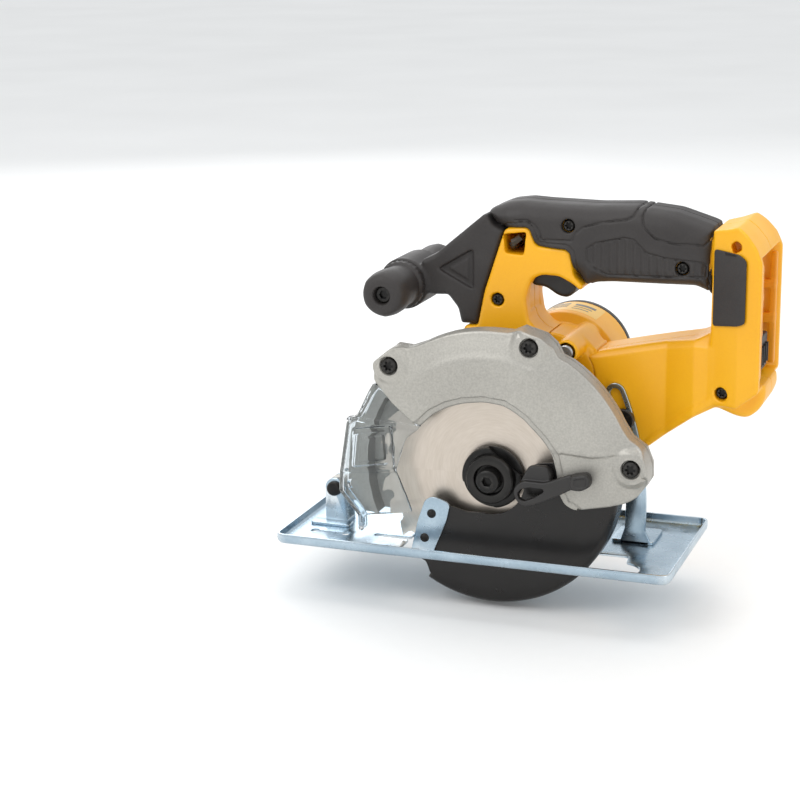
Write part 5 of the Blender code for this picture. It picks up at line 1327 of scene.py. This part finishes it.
@dataclass
class Shoe:
    """Pressed shoe plate with its rolled rim, the two brackets that carry the saw, and the depth clamp."""

    sole: float = -45.0
    x: tuple[float, float] = (-126.0, 109.0)
    y: tuple[float, float] = (-29.4, 77.7)
    sheet: float = 1.6
    rim: float = 6.1
    pivot: tuple[float, float] = (-105.0, -22.0)
    reach: float = 180.5
    bolt_angle: float = 17.0

    def openings(self) -> list[Array]:
        """Holes through the floor in X-Y: the blade well with its lobe and notch, and the front sight."""
        well = path([(-52, -24), (-46, -26), (76, -26)], arc((76, -13.5), 12.5, -80, 80, 16),
                    [(77, 9), (-46, 9), (-52, 7), (-52, 1.6), (-73, 1.6), (-74.8, -0.5), (-73, -2.6),
                    (-52, -2.6)])
        sight = [(-113, -6), (-110.5, -7.2), (-108.5, -5.2), (-93.5, -5.2), (-91.5, -7.2), (-89, -6),
                 (-89, -2), (-91.5, -0.8), (-93.5, -2.8), (-108.5, -2.8), (-110.5, -0.8), (-113, -2)]
        return [even(rounded(well, 0.9, 4), 1.2), rounded(sight, 0.8, 4)]

    def pan(self) -> Shape:
        """Floor and rolled rim as one sheet: the rim's section is carried round the outline."""
        (x0, x1), (y0, y1), s, t = self.x, self.y, self.sole, self.sheet
        corner = np.array([[x1, y1], [x0, y1], [x0, y0], [x1, y0]])
        line = turn(even(rounded(corner, 6.5, 12), 2.5))
        top = s + self.rim
        floor = s + t
        rim = [(2.8 + t, None), (2.0 + t, floor + 0.15), (0.5 + t, floor + 0.9), (t, floor + 2.2),
               (t, top - 0.8),
               (t - 0.25, top - 0.2), (t / 2, top), (0.25, top - 0.2), (0.0, top - 0.8), (0.0, s + 2.6),
               (0.45, s + 1.1),
               (1.3, s + 0.2), (2.4, s), (2.8, None)]
        inner = np.stack(np.meshgrid(np.arange(-118, 104, 8.0), np.arange(-22, 72, 8.0)), -1).reshape(-1, 2)
        holes = self.openings()
        keep = np.all([signed(inner, turn(h)) > 2 for h in holes], 0)
        return Relief(line, self.floor, self.under, rim, holes, inner=inner[keep], edge=0.35, upright=True,
                      contours=[turn(rounded([(63, 52), (99, 52), (99, 60), (63, 60)], 3))]).shape()

    def floor(self, points: Array) -> Array:
        """Upper face of the floor with one low embossed bead."""
        bead = signed(points, turn(rounded([(63, 52), (99, 52), (99, 60), (63, 60)], 3)))
        return self.sole + self.sheet + 0.7 * ease(-bead / 1.5)

    def under(self, points: Array) -> Array:
        """Sole face, flat."""
        return np.full(len(points), self.sole)

    def front_bracket(self) -> Shape:
        """Folded bracket round the front pivot: two ears, a foot on the floor and a rolled top."""
        px, pz = self.pivot
        floor = self.sole + self.sheet
        ear = rounded(path([(px - 6, floor), (px - 6, pz)], arc(self.pivot, 6, 170, 10, 16), [(px + 6, pz),
                           (px + 8, floor)]), 0.4, 3)
        ears = [plate(ear, y, y + 2, 0.4, [circle(self.pivot, 2.6, 24)]) for y in (13.5, 24.5)]
        foot = plate(rounded([(px - 6, 13.5), (px + 8, 13.5), (px + 8, 26.5), (px - 6, 26.5)], 0.5), floor,
                     floor + 2, 0.4, upright=True)
        flange = plate(rounded([(px - 13, 6.0), (px + 12, 6.0), (px + 12, 14.5), (px - 13, 14.5)], 2.0),
                       floor, floor + 1.6, 0.4, upright=True)
        return combine(*ears, foot, flange)

    def rear_bracket(self) -> Shape:
        """Upright band curved about the front pivot, with the depth slot, and a folded foot."""
        half, low, high = 6.0, 8.8, 22.0
        floor = self.sole + self.sheet
        tip = polar(self.pivot, self.reach, high)
        band = path(arc(self.pivot, self.reach + half, -4, high, 24),
                    arc(tip, half, high + 20, high + 160, 12),
                    arc(self.pivot, self.reach - half, high, -4, 24), [(66, floor), (85, floor)])
        w = 3.1
        foot_of = polar(self.pivot, self.reach, low)
        slot = path(arc(self.pivot, self.reach + w, low, high, 20), arc(tip, w, high + 20, high + 160, 9),
                    arc(self.pivot, self.reach - w, high, low, 20), arc(foot_of, w, low + 200, low + 340, 9))
        upright = plate(even(rounded(band, 0.6, 3), 1.5), 30, 32, 0.4, [even(slot, 1.0)])
        foot = plate(rounded([(61, 30), (86, 30), (86, 56), (61, 56)], 3.0), floor, floor + 2, 0.4,
                     upright=True)
        return combine(upright, foot)

    def build(self) -> None:
        """Plate, brackets, clamp bolt and clamp lever."""
        make("plate_pressed", self.pan(), ZINC_SHEET, "shoe", ["shoe_plate"], 40)
        make("bracket_front_folded", self.front_bracket(), ZINC_SHEET, "shoe", ["shoe_front_bracket"], 35)
        make("bracket_rear_folded", self.rear_bracket(), ZINC_SHEET, "shoe", ["shoe_rear_bracket"], 35)
        bolt = polar(self.pivot, self.reach, self.bolt_angle)
        rows = [(26.2, 0.0), (26.2, 5.2), (26.5, 5.9), (27.2, 6.5), (29.8, 6.5), (29.8, 3.0), (70.6, 3.0),
                (71.0, 2.6), (71.0, 0.0)]
        make("clamp_bolt_turned", lathe([(max(y, 26.4), *rest) for y, *rest in rows], bolt, 40), OXIDE_STEEL,
             "saw_body",
             ["depth_bolt"], 30)
        grid = Field((bolt[0] - 12, 59, bolt[1] - 12), (bolt[0] + 12, 73, bolt[1] + 43), 0.5)
        hub = grid.rod(bolt, 9.0, 61.4, 70.5, 1.4)
        bx, bz = bolt
        arm = rounded([(bx - 7, bz + 4), (bx - 5, bz + 30), (bx - 4.5, bz + 38.6), (bx - 1, bz + 40),
                       (bx + 2.5, bz + 39.4),
                       (bx + 4, bz + 30), (bx + 7.5, bz + 4)], 2.0)
        body = grid.join(hub, grid.prism(arm, 63, 69.5, 1.6), 2.0)
        make("clamp_lever_moulded", grid.shape(grid.cut(body, grid.rod(bolt, 3.05, 50, 80))), BLACK_NYLON,
             "depth_lever_arm", ["depth_lever"], 50)


# ---------------------------------------------------------------- studio

@dataclass
class Studio:
    """Pale floor, soft lights and the camera."""

    spot: tuple[float, float, float] = (0.32356, -1.04745, 0.36905)
    bearing: float = 20.7935
    rise: float = 14.8448
    roll: float = 0.8555
    lens: float = 86.61

    def camera(self) -> None:
        """Camera that looks along its bearing and rise, rolled a little, with no shift or depth of field."""
        a, e = np.radians(self.bearing), np.radians(self.rise)
        back = np.array([np.sin(a) * np.cos(e), -np.cos(a) * np.cos(e), np.sin(e)])
        right = np.array([np.cos(a), np.sin(a), 0.0])
        up = np.cross(back, right)
        c, s = np.cos(np.radians(-self.roll)), np.sin(np.radians(-self.roll))
        axes = np.eye(4)
        axes[:3, 0], axes[:3, 1], axes[:3, 2] = c * right + s * up, -s * right + c * up, back
        axes[:3, 3] = self.spot
        data = bpy.data.cameras.new("camera")
        data.lens, data.sensor_width, data.clip_start, data.clip_end = self.lens, 36.0, 0.01, 20.0
        camera = bpy.data.objects.new("camera", data)
        camera.matrix_world = Matrix(axes.tolist())
        bpy.context.scene.collection.objects.link(camera)
        bpy.context.scene.camera = camera

    def floor(self) -> None:
        """Level floor that runs on past the far edge of the frame."""
        depth = np.linspace(-12.0, 48.0, 13)
        height = np.full(13, -0.0325)
        across = np.array([-40.0, 40.0])
        grid = np.stack([np.broadcast_to(across, (len(depth), 2)), np.repeat(depth[:, None], 2, 1),
                         np.repeat(height[:, None], 2, 1)], -1)
        verts, faces = stack(grid, loop=False, caps=False)
        mesh = bpy.data.meshes.new("studio_floor")
        mesh.from_pydata(verts.tolist(), [], faces)
        mesh.flip_normals()
        mesh.shade_smooth()
        paper = Finish("matt_paper", "", "#F4F4F3", "#EFEFEE", 0.75, 0.05, 0.0, 3.0, 0.01, 200.0, 0.2)
        mesh.materials.append(paper.build())
        floor = bpy.data.objects.new("studio_floor", mesh)
        bpy.context.scene.collection.objects.link(floor)

    def light(self, name: str, spot: Sequence[float], size: tuple[float, float], power: float,
              aim: Sequence[float]) -> None:
        """One soft rectangular light, turned to face a point."""
        data = bpy.data.lights.new(name, "AREA")
        data.shape, data.size, data.size_y, data.energy = "RECTANGLE", size[0], size[1], power
        lamp = bpy.data.objects.new(name, data)
        lamp.location = spot
        lamp.rotation_euler = (Vector(spot) - Vector(aim)).to_track_quat("Z", "Y").to_euler()
        bpy.context.scene.collection.objects.link(lamp)

    def build(self) -> None:
        """Camera, floor, lights and an even pale surround."""
        self.camera()
        self.floor()
        centre = (0.0, 0.0, 0.1)
        self.light("key_softbox", (-0.9, -1.3, 1.5), (1.1, 1.1), 12.0, centre)
        self.light("fill_softbox", (1.5, -0.9, 0.8), (1.2, 1.4), 4.0, centre)
        self.light("top_softbox", (0.1, 0.3, 1.7), (1.6, 1.2), 8.0, centre)
        self.light("rim_softbox", (-0.8, 1.3, 0.9), (0.8, 1.2), 6.0, centre)
        world = bpy.data.worlds.new("pale_surround")
        bpy.context.scene.world = world
        world.use_nodes = True
        surround = world.node_tree.nodes["Background"]
        surround.inputs["Color"].default_value = linear("#F3F5F7")
        surround.inputs["Strength"].default_value = 0.95
        bpy.context.scene.view_settings.view_transform = "Standard"


# ---------------------------------------------------------------- whole saw

def main() -> None:
    """Builds the studio and each sub-assembly in order."""
    logging.basicConfig(level=logging.INFO, format="%(name)s %(message)s")
    Studio().build()
    for part in (BladeSet(), UpperGuard(), ChipWindow(), LowerGuard(), MotorUnit(), Handle(), FrontHandle(),
                 Shoe()):
        LOG.info("building %s", type(part).__name__)
        part.build()


if __name__ == "__main__":
    main()
